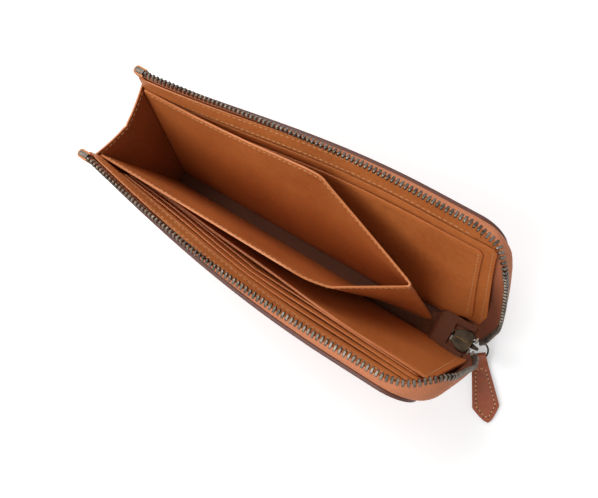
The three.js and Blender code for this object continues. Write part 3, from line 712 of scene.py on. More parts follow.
# %% Coin pocket
POCKET_HEIGHT = 84 * MM
POCKET_SHARE = 0.8372
POCKET_FOOT = 3.5 * MM
POCKET_FOOT_RISE = 5 * MM
POCKET_LEATHER = 0.9 * MM
POCKET_BELLY = 0.45 * MM
FRONT_WALL_TO, BACK_WALL_FROM = 0.42, 0.56
STATIONS = [
    ((0, -1, 1), (0, -1)),
    ((0.35, -1, 1), (0.35, -0.9)),
    ((0.67, -1, 1), (0.67, -0.85)),
    ((0.755, -0.97, 0.94), (0.77, -0.85)),
    ((0.82, -0.83, 0.875), (0.85, -0.75)),
    ((0.86, -0.6, 0.84), (0.9, -0.5)),
    ((0.985, 0.15, 0.722), (1.035, 0.25)),
    ((1, 0.26, 0.712), (1.06, 0.7)),
    ((0.985, 0.36, 0.722), (1.035, 1.15)),
    ((0.83, 0.78, 0.85), (0.88, 1.3)),
    ((0.68, 1.17, 0.97), (0.72, 1.3)),
    ((0.645, 1.26, 0.993), (0.67, 1.25)),
    ((0.59, 1.26, 1), (0.6, 1.2)),
    ((0.38, 1.12, 1), (0.38, 1.1)),
    ((0.2, 1.04, 1), (0.2, 1.05)),
    ((0, 1, 1), (0, 1)),
]
pocket_start = LEFT + GUSSET_INSET + GUSSET_LEATHER + GAP + GUSSET_CREASE * 0.15
pocket_run = LEFT + LENGTH * POCKET_SHARE - pocket_start
pocket_floor = OUTER_LEATHER + THIN_LEATHER + 2 * GAP
front_reach, back_reach = (
    inner_reach(cover, pocket_start, POCKET_HEIGHT, LINING_DEPTH + THIN_LEATHER) - GAP for cover in (FRONT, BACK)
)


def half_width(aside):
    return (front_reach if aside < 0 else back_reach) - POCKET_LEATHER


upper_edge = smooth_line([
    Vector((pocket_start + pocket_run * along, half_width(aside) * aside, POCKET_HEIGHT * up))
    for (along, aside, up), _ in STATIONS
], 0.35)
foot_edge = smooth_line([
    Vector((
        pocket_start + pocket_run * along, POCKET_FOOT * aside,
        pocket_floor + POCKET_FOOT_RISE * smoothstep(along, 0.75, 1.06),
    ))
    for _, (along, aside) in STATIONS
], 0.35)


def pocket_place(along, up):
    here = foot_edge(along).lerp(upper_edge(along), up)
    outward = 1 if along > 0.5 else -1
    wall = along / FRONT_WALL_TO if along < FRONT_WALL_TO else clamp((along - BACK_WALL_FROM) / (1 - BACK_WALL_FROM))
    here.y += outward * POCKET_BELLY * math.sin(math.pi * wall) * math.sin(math.pi * up)
    return here


pocket = sheet_piece("coin_pocket_leather", pocket_place, 165, 22, POCKET_LEATHER, inner_leather, turned_edge)
carried(pocket, "inner_leather", "coin_pocket")
upper_length = sum((upper_edge((i + 1) / 300) - upper_edge(i / 300)).length for i in range(300))

# %% [markdown]
# ## The zip's lines
# Three lines carry each half of the zip: the tape's sewn edge, the cover's lip and the chain of
# teeth. Past the free corner the chain bows out on its own and comes down to the slider. The
# tape is the surface between the lines, so it bulges where the chain stands away.

# %% Lines of the zip
SEAM_INSET = 6 * MM
LIP_INSET = 0.4 * MM
CHAIN_INBOARD = (1.2 * MM, 6 * MM)
CHAIN_RISE = (2 * MM, 3.8 * MM)
SLIDER_LENGTH = 9.5 * MM
SLIDER_MOUTH = 10.9 * MM
SLIDER_ASIDE = 0.8 * MM
CHAIN_LEVEL = 9.9 * MM
APART_AT_MOUTH, APART_AT_TAIL = 6.4 * MM, 2.9 * MM
SLIDER_TAIL = RIGHT + 2.5 * MM - SLIDER_LENGTH
CHAIN_END = SLIDER_TAIL - 6 * MM
TOOTH_REACH, TOOTH_PITCH, TOOTH_LENGTH, TOOTH_HEIGHT = 2.2 * MM, 2.2 * MM, 1.2 * MM, 1.8 * MM
TOP_STOP_LENGTH = 4.6 * MM
SEAM_LANDING = (13 * MM, 8 * MM, 5.5 * MM, 5 * MM)
LIP_LANDING = 15.5 * MM
LIP_PAST = 1.4 * MM
FLARE_AT = (3.2 * MM, 6.9 * MM)
TOP_POINTS = 70
# How far each point stands past the cover's end in mm, and its shares of spread and height.
CHAIN_BOW = {
    "front": [(-7.5, 0.94, 0.985), (-2.8, 0.86, 0.975), (4.5, 0.65, 0.94), (9.1, 0.51, 0.855),
              (10, 0.36, 0.65), (11.5, 0.25, 0.54), (10, 0.13, 0.38)],
    "back": [(-3.8, 0.93, 0.985), (0.5, 0.83, 0.975), (4.4, 0.7, 0.94), (7.5, 0.59, 0.825),
             (10.5, 0.38, 0.665), (12, 0.2, 0.52), (10, 0.12, 0.33)],
}


def chain_over_top(cover, x):
    share = smoothstep(x, LEFT, CORNER_START)
    lean = lean_at(cover, x)
    out = SPINE_WIDTH / 2 + COVER_HEIGHT * math.sin(lean) - lerp(*CHAIN_INBOARD, share)
    return Vector((x, cover["side"] * out, COVER_HEIGHT * math.cos(lean) + lerp(*CHAIN_RISE, share)))


def zip_lines(cover, bow):
    """Points of the seam, the lip and the chain, with how far the tape bows between them."""
    side = cover["side"]
    middle = SEAM_DEPTH + TAPE_THICKNESS / 2
    top = []
    for i in range(TOP_POINTS):
        x = lerp(LEFT + 1 * MM, CORNER_START - 2 * MM, i / (TOP_POINTS - 1))
        seam, lip = (on_cover(cover, x, COVER_HEIGHT - inset, middle) for inset in (SEAM_INSET, LIP_INSET))
        top.append((seam, lip, chain_over_top(cover, x), 1.0))
    corner = chain_over_top(cover, CORNER_START)
    mouth, tail = side * APART_AT_MOUTH / 2, side * APART_AT_TAIL / 2
    chain = [corner]
    for past, spread, share in bow:
        aside = lerp(mouth, corner.y, spread) + SLIDER_ASIDE * (1 - spread)
        chain.append(Vector((RIGHT + past * MM, aside, corner.z * share)))
    chain += [
        Vector((RIGHT + 7 * MM, SLIDER_ASIDE + mouth + side * 0.6 * MM, CHAIN_LEVEL + 2.4 * MM)),
        Vector((RIGHT + 4.6 * MM, SLIDER_ASIDE + mouth, CHAIN_LEVEL)),
        Vector((SLIDER_TAIL + FLARE_AT[1], SLIDER_ASIDE + mouth, CHAIN_LEVEL)),
        Vector((SLIDER_TAIL + FLARE_AT[0], SLIDER_ASIDE + tail, CHAIN_LEVEL)),
        Vector((CHAIN_END, SLIDER_ASIDE + tail, CHAIN_LEVEL)),
    ]

    def beside(inset):
        radius = CORNER_RADIUS - inset
        turns = [math.radians(angle) for angle in (0, 22.5, 45, 67.5, 90)]
        arc = [
            on_cover(cover, CORNER_START + radius * math.sin(angle),
                     COVER_HEIGHT - CORNER_RADIUS + radius * math.cos(angle), middle)
            for angle in turns
        ]
        return arc + [on_cover(cover, RIGHT - inset, COVER_HEIGHT * share, middle) for share in (0.72, 0.56, 0.38)]

    landing = [(RIGHT - SEAM_INSET, SEAM_LANDING[0]), (RIGHT - SEAM_INSET - 1 * MM, SEAM_LANDING[1]),
               (SLIDER_TAIL + FLARE_AT[0], SEAM_LANDING[2]), (SLIDER_TAIL, SEAM_LANDING[3]),
               (CHAIN_END, SEAM_LANDING[3])]
    seam = beside(SEAM_INSET) + [on_cover(cover, x, height, middle) for x, height in landing]
    aside = SLIDER_ASIDE + side * (SLIDER_MOUTH / 2 + LIP_PAST)
    turn = on_cover(cover, RIGHT - LIP_INSET, LIP_LANDING, middle + 1 * MM) + Vector((0.6 * MM, 0, 0))
    lip = beside(LIP_INSET) + [
        turn,
        Vector((RIGHT + LIP_PAST, aside, CHAIN_LEVEL + 0.6 * MM)),
        Vector((SLIDER_TAIL + 5 * MM, aside, CHAIN_LEVEL)),
        Vector((SLIDER_TAIL, aside, CHAIN_LEVEL)),
        Vector((CHAIN_END, aside, CHAIN_LEVEL)),
    ]
    curves = [smooth_line(points, 0.4) for points in (seam, lip, chain)]
    steps = (len(chain) - 1) * 8
    return top + [
        (*(curve(i / steps) for curve in curves), 1 - smoothstep(i / steps, 0.5, 0.7)) for i in range(steps + 1)
    ]


def across_tape(line, share, short=0.35 * MM):
    """A point of the tape, from its sewn edge over the lip to the chain."""
    seam, lip, chain, bowed = line
    flat = 0.3
    if share <= flat:
        return seam.lerp(lip, share / flat)
    reach = (chain - lip).length
    over = lip + (lip - seam).normalized() * (reach * 0.45)
    over = over.lerp(lip.lerp(chain, 0.5), 1 - bowed)
    t = (share - flat) / (1 - flat) * (1 - short / reach)
    return lip * (1 - t) ** 2 + over * (2 * t * (1 - t)) + chain * t**2


zips = {side: zip_lines(cover, CHAIN_BOW[side]) for side, cover in {"front": FRONT, "back": BACK}.items()}
print("zip lines of", len(zips["front"]), "points")

# %% [markdown]
# ## The woven tape
# The tape is laid like the leather, with the herringbone following its UV map. Its free edge runs
# in under the teeth, which are clamped on it.

# %% Zip tape
for side, lines in zips.items():
    last = len(lines) - 1

    def tape_place(along, up):
        return across_tape(lines[round(along * last)], 1 - up if side == "front" else up)

    tape = sheet_piece(f"{side}_tape_weave", tape_place, last, 14, TAPE_THICKNESS, tape_weave, tape_weave, 0.2 * MM)
    carried(tape, "zip_tape", f"{side}_zip_tape")
    chain_length = sum((b[2] - a[2]).length for a, b in zip(lines, lines[1:]))
    crossings = [[across_tape(line, i / 8) for i in range(9)] for line in lines]
    width = sum((b - a).length for points in crossings for a, b in zip(points, points[1:])) / len(lines)
    print(side, "tape", round(width / MM, 1), "by", round(chain_length / MM), "mm")

# %% [markdown]
# ## The teeth
# One tooth is modelled: a cube stretched to a block, with a raised head at its free end and
# bevelled edges. It is then copied along the chain at one pitch. Each copy is turned to the
# chain's direction there and to the side that its head points to.

# %% Teeth
def block(name, size, paint):
    piece = fresh(name, "cube", size=1)
    piece.scale = size
    bpy.ops.object.transform_apply(location=False, rotation=False, scale=True)
    piece.data.materials.append(paint)
    return piece


def pick_faces(piece, wanted):
    """Selects the faces for which wanted(centre, normal) holds, and goes into edit mode."""
    only(piece)
    bpy.ops.object.mode_set(mode="EDIT")
    bpy.ops.mesh.select_mode(type="FACE")
    bpy.ops.mesh.select_all(action="DESELECT")
    mesh = bmesh.from_edit_mesh(piece.data)
    for face in mesh.faces:
        face.select_set(wanted(face.calc_center_median(), face.normal))
    bmesh.update_edit_mesh(piece.data)


def facing(axis, sign=1):
    """Picks the faces that look along an axis (0 to 2), or against it."""
    return lambda centre, normal: sign * normal[axis] > 0.9


def extrude(*move):
    bpy.ops.mesh.extrude_region_move(TRANSFORM_OT_translate={"value": move})


TOOTH_BODY, TOOTH_HEAD, TOOTH_SHOULDER = TOOTH_REACH * 0.86, TOOTH_REACH * 0.16, 0.22 * MM
TOOTH_LEG, LEG_NARROWED = 0.9 * MM, (0.8, 1, 0.72)
TOOTH_ROUNDING = 0.14 * MM
tooth = block("tooth", (TOOTH_LENGTH, TOOTH_BODY, TOOTH_HEIGHT), tooth_metal)
pick_faces(tooth, facing(1))
bpy.ops.mesh.inset(thickness=TOOTH_SHOULDER)
extrude(0, TOOTH_HEAD, 0)
bpy.ops.object.mode_set(mode="OBJECT")
pick_faces(tooth, facing(1, -1))
extrude(0, -TOOTH_LEG, 0)
bpy.ops.transform.resize(value=LEG_NARROWED)
bpy.ops.mesh.select_all(action="SELECT")
bpy.ops.mesh.bevel(offset=TOOTH_ROUNDING, segments=1)
bpy.ops.object.mode_set(mode="OBJECT")
print("tooth", len(tooth.data.polygons), "faces")


def copies(master, name, places):
    """One mesh of many copies of a master, each at its own matrix."""
    made = []
    for place in places:
        copy = master.copy()
        copy.data = master.data.copy()
        copy.data.transform(place)
        bpy.context.scene.collection.objects.link(copy)
        made.append(copy)
    only(made[0])
    if len(made) > 1:
        for copy in made:
            copy.select_set(True)
        bpy.ops.object.join()
    piece = bpy.context.object
    piece.name = piece.data.name = name
    return piece


def stepped(points, distances):
    """For each distance along a line: the index before it and the share to the next point."""
    travelled = np.concatenate([[0], np.cumsum([(b - a).length for a, b in zip(points, points[1:])])])
    for distance in distances(travelled[-1]):
        i = max(1, min(int(np.searchsorted(travelled, distance, side="right")), len(points) - 1))
        yield i, (distance - travelled[i - 1]) / (travelled[i] - travelled[i - 1])


def placed(along, side, up, place):
    matrix = Matrix((along, side, up)).transposed().to_4x4()
    matrix.translation = place
    return matrix


first_tooth = TOP_STOP_LENGTH + TOOTH_PITCH / 2
# The share across the tape at which a tooth grips it.
GRIP = 0.93
for side, lines in zips.items():
    chain = [line[2] for line in lines]

    def tooth_distances(total):
        count = int((total - TOOTH_LENGTH / 2 - first_tooth) / TOOTH_PITCH) + 1
        return [first_tooth + i * TOOTH_PITCH for i in range(count)]

    places = []
    for i, share in stepped(chain, tooth_distances):
        here = chain[i - 1].lerp(chain[i], share)
        along = (chain[min(i + 1, len(chain) - 1)] - chain[max(i - 2, 0)]).normalized()
        inner = across_tape(lines[i - 1], GRIP).lerp(across_tape(lines[i], GRIP), share)
        reach = here - inner
        reach = (reach - along * reach.dot(along)).normalized()
        places.append(placed(along, reach, along.cross(reach), here))
    teeth = copies(tooth, f"{side}_teeth_row", places)
    smooth(teeth, 30)
    carried(teeth, "zip_teeth", f"{side}_zip_teeth")
    print(side, len(places), "teeth")
bpy.data.objects.remove(tooth)

# %% [markdown]
# ## Stops
# A small clamped block ends each row at the gusset, and a wider one holds both rows together
# behind the slider. Each is bevelled, with the hollow that the pliers leave on its top.

# %% Stops
STOP_RIM, STOP_HOLLOW, STOP_ROUNDING = 0.45 * MM, 0.22 * MM, 0.28 * MM
for node in ("front_top_stop", "back_top_stop", "bottom_stop"):
    low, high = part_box(node)
    stop = block(node + "_clamp", high - low, stop_metal)
    pick_faces(stop, facing(2))
    bpy.ops.mesh.inset(thickness=STOP_RIM)
    extrude(0, 0, -STOP_HOLLOW)
    bpy.ops.object.mode_set(mode="OBJECT")
    stop.data.transform(Matrix.Translation((low + high) / 2))
    bevel(stop, STOP_ROUNDING, 3, 40)
    smooth(stop)
    carried(stop, "stop_metal", node)

# %% [markdown]
# ## Wraps at the zip's open ends
# At the gusset each tape's end is turned in and wrapped in a little leather, which stands as a low
# collar round the top stop. A strip goes along one side, round the end and back.

# %% End wraps
WRAP_LEATHER = 0.9 * MM
WRAP_LENGTH, WRAP_ABOVE, WRAP_BELOW = 6.2 * MM, -0.3 * MM, 2.6 * MM
WRAP_FROM, WRAP_ROUND, WRAP_BEND = 0.8 * MM, 0.72, 0.4
WRAP_PLAY = 0.05 * MM
for side in ("front", "back"):
    low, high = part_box(f"{side}_top_stop")
    wrap_middle = (low + high) / 2
    wrap_half = (high.y - low.y) / 2 + WRAP_LEATHER / 2 + WRAP_PLAY

    def wrap_place(along, up):
        turn = 2 * along - 1
        if abs(turn) < WRAP_BEND:
            angle = turn / WRAP_BEND * math.pi / 2
            x, y = -wrap_half * WRAP_ROUND * math.cos(angle), wrap_half * math.sin(angle)
        else:
            run = (abs(turn) - WRAP_BEND) / (1 - WRAP_BEND)
            x, y = run * (WRAP_LENGTH - wrap_half), math.copysign(wrap_half, turn)
        level = lerp(low.z - WRAP_BELOW, high.z + WRAP_ABOVE, up)
        return Vector((low.x + WRAP_FROM + x, wrap_middle.y + y, level))

    wrap = sheet_piece(f"{side}_end_wrap", wrap_place, 28, 4, WRAP_LEATHER, plain_leather, turned_edge)
    carried(wrap, "inner_leather")

# %% [markdown]
# ## The leather over the zip's end
# Behind the slider the tapes' raw ends and the lower stop would catch coins, so a tongue of thin
# leather runs over them. It starts flat on the spine's floor, under the coin pocket's tip, climbs
# over the stop and ends just short of the slider. Its sides turn up under the pockets' feet, and
# two narrow wings run on beside the slider to its mouth.

# %% Zip end cover
END_COVER_FROM, END_COVER_SHORT = 62 * MM, 1.65 * MM
END_COVER_SIDES = (-8.1 * MM, 9.7 * MM)
END_COVER_LEATHER = 0.7 * MM
WING_REACH, WING_FROM, WING_FULL = 10.5 * MM, 0.645, 0.7
TONGUE_SHARE, TONGUE_LIP = 0.72, 0.4 * MM
TONGUE_NARROW = 0.7
TONGUE_LIFT, LIFTED_BEFORE_STOP = 3 * MM, 3 * MM
CLIMB_FROM, CLIMB_TO = -4.5 * MM, 0.4 * MM
SIDES_TURN_UP = 0.9 * MM
END_COVER_COLUMNS = 36
stop_low, stop_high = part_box("bottom_stop")
end_cover_floor = strip_high.z + 0.5 * MM
end_cover_top = stop_high.z + 0.6 * MM


def end_cover_place(along, up):
    across = 2 * up - 1
    wing = lerp(TONGUE_LIP, WING_REACH, smoothstep(abs(across), WING_FROM, WING_FULL))
    tongue_end = SLIDER_TAIL - END_COVER_SHORT - TONGUE_LIP
    x = lerp(END_COVER_FROM, tongue_end, min(along / TONGUE_SHARE, 1))
    x += wing * max(along - TONGUE_SHARE, 0) / (1 - TONGUE_SHARE)
    climb = smoothstep(x, stop_low.x + CLIMB_FROM, stop_low.x + CLIMB_TO)
    level = end_cover_floor + TONGUE_LIFT * smoothstep(x, END_COVER_FROM, stop_low.x - LIFTED_BEFORE_STOP)
    level = lerp(level, end_cover_top, climb)
    y = lerp(*END_COVER_SIDES, up) * lerp(TONGUE_NARROW, 1, climb)
    return Vector((x, y, level + SIDES_TURN_UP * climb * across**4))


end_cover = sheet_piece(
    "zip_end_cover", end_cover_place, END_COVER_COLUMNS, 40, END_COVER_LEATHER, suede, turned_edge
)
carried(end_cover, "inner_leather")
tongue = [end_cover_place(i / END_COVER_COLUMNS, 0.5) for i in range(END_COVER_COLUMNS + 1)]
end_cover_run = sum((b - a).length for a, b in zip(tongue, tongue[1:])) + WING_REACH

# %% [markdown]
# ## Slider
# The slider is a casting: two plates, rails, wedge and lug. Its CAD solid already has the right
# outline, so a merged copy of it gets rounded edges here. A raised ridge is added down the middle
# of the upper plate, and a short nose over the ring. The mouth's edge is worn through to brass.

# %% Slider
def merged_copy(node, name, paint):
    """A copy of a CAD node as one clean mesh, free of the frame's marks."""
    source = frame["nodes"][node]
    piece = source.copy()
    piece.data = source.data.copy()
    piece.name = piece.data.name = name
    piece.parent = None
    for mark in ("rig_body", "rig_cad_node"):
        del piece[mark]
    bpy.context.scene.collection.objects.link(piece)
    only(piece)
    bpy.ops.object.mode_set(mode="EDIT")
    bpy.ops.mesh.select_all(action="SELECT")
    bpy.ops.mesh.remove_doubles(threshold=0.001 * MM)
    bpy.ops.mesh.dissolve_limited(angle_limit=math.radians(2))
    bpy.ops.object.mode_set(mode="OBJECT")
    piece.data.materials.clear()
    piece.data.materials.append(paint)
    return piece


slider = merged_copy("slider_body", "slider_casting", bronze)
slider.data.materials.append(brass_edge)
bevel(slider, 0.16 * MM, 2, 35)
_, slider_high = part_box("slider_body")
for face in slider.data.polygons:
    worn = face.center.x > slider_high.x - 0.5 * MM and abs(face.normal.z) < 0.95
    face.material_index = int(worn and face.center.z > CHAIN_LEVEL)
smooth(slider, 35)
carried(slider, "slider_metal", "slider_body", body="slider")

PLATE = 1.1 * MM
PLATE_OUT = 0.12 * MM
PLATE_AT_TAIL, PLATE_WIDEST, WIDEST_AT = 3.5 * MM, 5.5 * MM, 0.72
MOUTH_NARROWED, NARROWED_FROM = 0.22, 0.8
MOUTH_BOW, TAIL_BOW = 0.9 * MM, 0.5 * MM


def plate_half_width(x):
    """Half the plate's width from its tail to its mouth: a shield, a little full at the sides."""
    share = x / SLIDER_LENGTH
    flare = lerp(PLATE_AT_TAIL, PLATE_WIDEST, math.sin(clamp(share / WIDEST_AT) * math.pi / 2))
    return flare * (1 - MOUTH_NARROWED * smoothstep(share, NARROWED_FROM, 1.0))


def plate_place(middle, short):
    """The plate's place, at a level, and how much shorter than the slider it is at its mouth."""

    def place(along, up):
        across = 2 * up - 1
        bow = MOUTH_BOW * along**4 - TAIL_BOW * (1 - along) ** 4
        x = (SLIDER_LENGTH - short) * along - bow * across * across
        return Vector((SLIDER_TAIL + x, SLIDER_ASIDE + across * plate_half_width(SLIDER_LENGTH * along), middle))

    return place


LOWER_PLATE_SHORT = 0.9 * MM
WORN_LENGTH = 1.6 * MM
plate_rise = slider_high.z - PLATE / 2 + PLATE_OUT - CHAIN_LEVEL
for name, side, short in (("upper", 1, 0.0), ("lower", -1, LOWER_PLATE_SHORT)):
    place = plate_place(CHAIN_LEVEL + side * plate_rise, short)
    plate = sheet_piece(f"slider_{name}_plate", place, 24, 16, PLATE, bronze, bronze, 0.3 * MM)
    plate.data.materials.append(brass_edge)
    for face in plate.data.polygons:
        worn = face.center.x > slider_high.x - WORN_LENGTH and abs(face.normal.z) < 0.96
        face.material_index = 2 if worn else 0
    carried(plate, "slider_metal", body="slider")


def cast_block(name, size, middle, paint, pick, narrowed, width, segments):
    """A block on the slider, with one face narrowed and its edges rounded."""
    piece = block(name, size, paint)
    pick_faces(piece, pick)
    bpy.ops.transform.resize(value=narrowed)
    bpy.ops.object.mode_set(mode="OBJECT")
    piece.data.transform(Matrix.Translation(middle))
    bevel(piece, width, segments, 35)
    smooth(piece)
    carried(piece, "slider_metal", body="slider")


RIDGE = Vector((7.6, 0.55, 0.5)) * MM
RIDGE_SUNK = 0.1 * MM
cast_block(
    "slider_ridge", RIDGE,
    (SLIDER_TAIL + SLIDER_LENGTH * 0.5, SLIDER_ASIDE, slider_high.z + PLATE_OUT - RIDGE_SUNK),
    brass_edge, facing(2), (0.86, 0.45, 1), 0.1 * MM, 2,
)
NOSE = Vector((4, 2.8, 1.3)) * MM
NOSE_PAST_CASTING, NOSE_UNDER_CHAIN = 1 * MM, 1.95 * MM
cast_block(
    "slider_nose", NOSE, (slider_high.x + NOSE_PAST_CASTING, SLIDER_ASIDE, CHAIN_LEVEL - NOSE_UNDER_CHAIN),
    bronze, facing(0), (1, 0.5, 0.7), 0.35 * MM, 3,
)

# %% [markdown]
# ## Ring
# The ring is bent from round wire, and its ends meet in a slit inside the tab's loop. It hangs in
# the lug and slopes down to the tab, so its two directions are taken from the joints: level
# across the tab, and downhill along it.

# %% Ring
RING_RADIUS = 5 * MM
RING_WIRE = 0.94 * MM
HEADING = math.radians(-52)
ARC_TO_TAB = math.radians(132)
TAB_TOP_WIDTH = 7.2 * MM
TAB_LOOP = 1.6 * MM
TAB_LEATHER = 1.1 * MM
joints = {joint["name"]: joint for joint in frame["joints"]}
lug_hole = Vector(joints["ring_swing"]["pos_m"])
tab_loop = Vector(joints["tab_swing"]["pos_m"])
level = Vector((-math.sin(HEADING), math.cos(HEADING), 0))
sagitta = RING_RADIUS - math.sqrt(RING_RADIUS**2 - (TAB_TOP_WIDTH / 2) ** 2)
loop_reach = RING_RADIUS - sagitta / 2
lug_arc = math.pi / 2 + ARC_TO_TAB
slope = math.asin((lug_hole.z - tab_loop.z) / (loop_reach - RING_RADIUS * math.sin(lug_arc)))
downhill = Vector((math.cos(HEADING) * math.cos(slope), math.sin(HEADING) * math.cos(slope), -math.sin(slope)))
ring_centre = tab_loop - downhill * loop_reach

ring = fresh(
    "wire_ring", "torus",
    major_radius=RING_RADIUS, minor_radius=RING_WIRE / 2, major_segments=72, minor_segments=14,
)
SLIT = 0.02 * math.pi
pick_faces(ring, lambda centre, normal: abs(math.atan2(centre.x, centre.y)) < SLIT)
bpy.ops.mesh.delete(type="FACE")
bpy.ops.mesh.select_all(action="SELECT")
bpy.ops.mesh.fill_holes(sides=20)
bpy.ops.object.mode_set(mode="OBJECT")
ring.data.materials.append(bronze)
ring.data.transform(placed(level, downhill, level.cross(downhill), ring_centre))
smooth(ring)
carried(ring, "slider_metal", "pull_ring", body="ring")

# %% [markdown]
# ## Pull tab
# One strip of cover leather goes round the ring and is sewn to itself. The grid runs from one
# tip, round the loop, to the other tip, and a width for each distance gives the outline.

# %% Pull tab
TAB_LENGTH = 34.4 * MM
TAB_WIDTH = 13.6 * MM
# The strip's two halves lie a hair apart, so that they don't share a face.
SEWN_PLAY = 0.04 * MM
loop_middle = TAB_LOOP + TAB_LEATHER / 2
loop_outer = TAB_LOOP + TAB_LEATHER
tab_tip = TAB_LENGTH - loop_outer
join_at = 1.85 * loop_outer
shoulder = tab_tip - TAB_WIDTH * 0.72 + 1.6 * MM
taper_from = shoulder - 2.4 * MM


def tab_half_width(distance):
    """Half the tab's width at a distance from the loop: a slow flare, a shoulder and a blunt point."""
    flare = lerp(TAB_TOP_WIDTH, TAB_WIDTH - 0.4 * MM, clamp(distance / shoulder)) / 2
    if distance <= taper_from:
        return flare
    past = clamp((distance - taper_from) / (tab_tip - taper_from))
    taper = (TAB_WIDTH / 2 + 0.6 * MM) * (1 - past) ** 0.82 + 0.9 * MM * math.sqrt(max(0.0, 1 - past**6))
    return max(min(flare, taper), 0.02 * MM)


def tab_path():
    """Points of the strip's middle line, seen from its edge: distance along the tab, and height."""
    low = -loop_outer + TAB_LEATHER / 2
    high = low + TAB_LEATHER
    lower = [(tab_tip * (1 - i / 30), low) for i in range(30)]
    loop = [(-loop_middle * math.sin(math.pi * i / 14), -loop_middle * math.cos(math.pi * i / 14)) for i in range(15)]
    controls = [Vector((0, loop_middle)), Vector((loop_outer * 0.8, loop_middle)),
                Vector((join_at * 0.7, high)), Vector((join_at, high))]
    neck = []
    for i in range(1, 13):
        t = i / 12
        a, b, c, d = controls
        neck.append(tuple(a * (1 - t) ** 3 + b * (3 * t * (1 - t) ** 2) + c * (3 * t * t * (1 - t)) + d * t**3))
    upper = [(lerp(join_at, tab_tip, i / 30), high) for i in range(1, 31)]
    return lower + loop + neck + upper


path = tab_path()
tab_frame = placed(Vector((math.cos(HEADING), math.sin(HEADING), 0)), level, Vector((0, 0, 1)), tab_loop)


def tab_place(along, up):
    distance, height = path[round(along * (len(path) - 1))]
    return tab_frame @ Vector((distance, (1 - 2 * up) * tab_half_width(distance), height))


tab = sheet_piece(
    "tab_leather", tab_place, len(path) - 1, 12, TAB_LEATHER - SEWN_PLAY, outer_leather, painted_edge, 0.3 * MM
)
carried(tab, "outer_leather", "pull_tab", body="tab")
tab_run = sum(math.dist(a, b) for a, b in zip(path, path[1:]))

# %% [markdown]
# ## Stitches
# Each seam is a row of short threads that dip into the leather at both ends. One stitch is a
# stretched ball, copied along the seam's line and turned to lie on the surface.

# %% Sewing
STITCH_PITCH, DIVIDER_PITCH = 2.7 * MM, 1.9 * MM
SEAM_SAMPLES = 240
STITCH = Vector((0.92, 0.24, 0.17)) * MM
HOLE = Vector((0.36, 0.32, 0.1)) * MM


def ball(name, radii, paint):
    """A small ball, stretched to three radii, with its poles along its length."""
    piece = fresh(name, "uv_sphere", segments=8, ring_count=6, radius=1)
    piece.data.transform(Matrix.Diagonal((*radii, 1)) @ Matrix.Rotation(math.pi / 2, 4, "Y"))
    piece.data.materials.append(paint)
    return piece


stitch = ball("stitch", STITCH, thread)
hole = ball("painted_hole_shade", HOLE, painted_hole_shade)


def sew(name, line, slot="inner_leather", body="root", pitch=STITCH_PITCH, holes=False):
    """Stitches along line(share), which gives a place and the way out of the surface."""
    samples = [line(i / SEAM_SAMPLES) for i in range(SEAM_SAMPLES + 1)]
    points = [place for place, _ in samples]
    places = []
    for i, share in stepped(points, lambda total: np.arange(pitch / 2, total - pitch / 2, pitch)):
        along = (points[i] - points[i - 1]).normalized()
        out = samples[i][1]
        out = (out - along * out.dot(along)).normalized()
        places.append(placed(along, out.cross(along), out, points[i - 1].lerp(points[i], share)))
    shortened = Matrix.Diagonal((pitch / STITCH_PITCH * (0.88 if holes else 1), 1, 1, 1))
    piece = copies(stitch, name, [place @ shortened for place in places])
    smooth(piece, 60)
    carried(piece, slot, body=body)
    if holes:
        # Between the stitches sit near-black balls, painted shade for the awl holes.
        half = Matrix.Translation((pitch / 2, 0, 0))
        carried(copies(hole, name + "_holes", [place @ half for place in places]), slot, body=body)


def along_path(points):
    """A function of a share that walks a list of points at an even pace."""
    lengths = [math.dist(a, b) for a, b in zip(points, points[1:])]

    def at(share):
        left_over = share * sum(lengths)
        for (a, b), span in zip(zip(points, points[1:]), lengths):
            if left_over <= span:
                break
            left_over -= span
        return [lerp(p, q, min(left_over / span, 1)) for p, q in zip(a, b)]

    return at


def rounded(corners, radius):
    """A path through corners, each cut by a small arc."""
    path = [corners[0]]
    for before, corner, after in zip(corners, corners[1:], corners[2:]):
        into = (Vector(corner) - Vector(before)).normalized() * radius
        out = (Vector(after) - Vector(corner)).normalized() * radius
        a, c = Vector(corner) - into, Vector(corner) + out
        for i in range(7):
            t = i / 6
            path.append(tuple(a * (1 - t) ** 2 + Vector(corner) * (2 * t * (1 - t)) + c * t * t))
    return [*path, corners[-1]]


def layer_seam(cover, corners, depth, radius=2 * MM, inward=1):
    """A seam on a cover's layer, through places along the spine and heights up the slope."""
    path = along_path(rounded(corners, radius))

    def at(share):
        x, height = path(share)
        here, onward, above = (
            on_cover(cover, x + a, height + b, depth + curl(x + a)) for a, b in ((0, 0), (MM, 0), (0, MM))
        )
        out = (onward - here).cross(above - here)
        return here, out.normalized() * cover["side"] * inward

    return at


SEAM_IN = 2 * MM
for side, cover in {"front": FRONT, "back": BACK}.items():
    top_depth = FIRST_DEPTH + THIN_LEATHER
    for name, height in {"facing": EDGE_TOP - FACING_WIDTH + 1.5 * MM, "edge": EDGE_TOP + 0.4 * MM}.items():
        sew(f"{side}_{name}_stitches", layer_seam(
            cover, [(INNER_START + 2 * MM, height), (CORNER_START, height)], top_depth))
    outline = [
        (LEFT + 3 * MM, 4 * MM), (LEFT + 3 * MM, COVER_HEIGHT - 3 * MM), (RIGHT - 3 * MM, COVER_HEIGHT - 3 * MM),
        (RIGHT - 3 * MM, 10 * MM),
    ]
    sew(f"{side}_outside_stitches", layer_seam(cover, outline, 0.0, CORNER_RADIUS - 3 * MM, -1), "outer_leather")

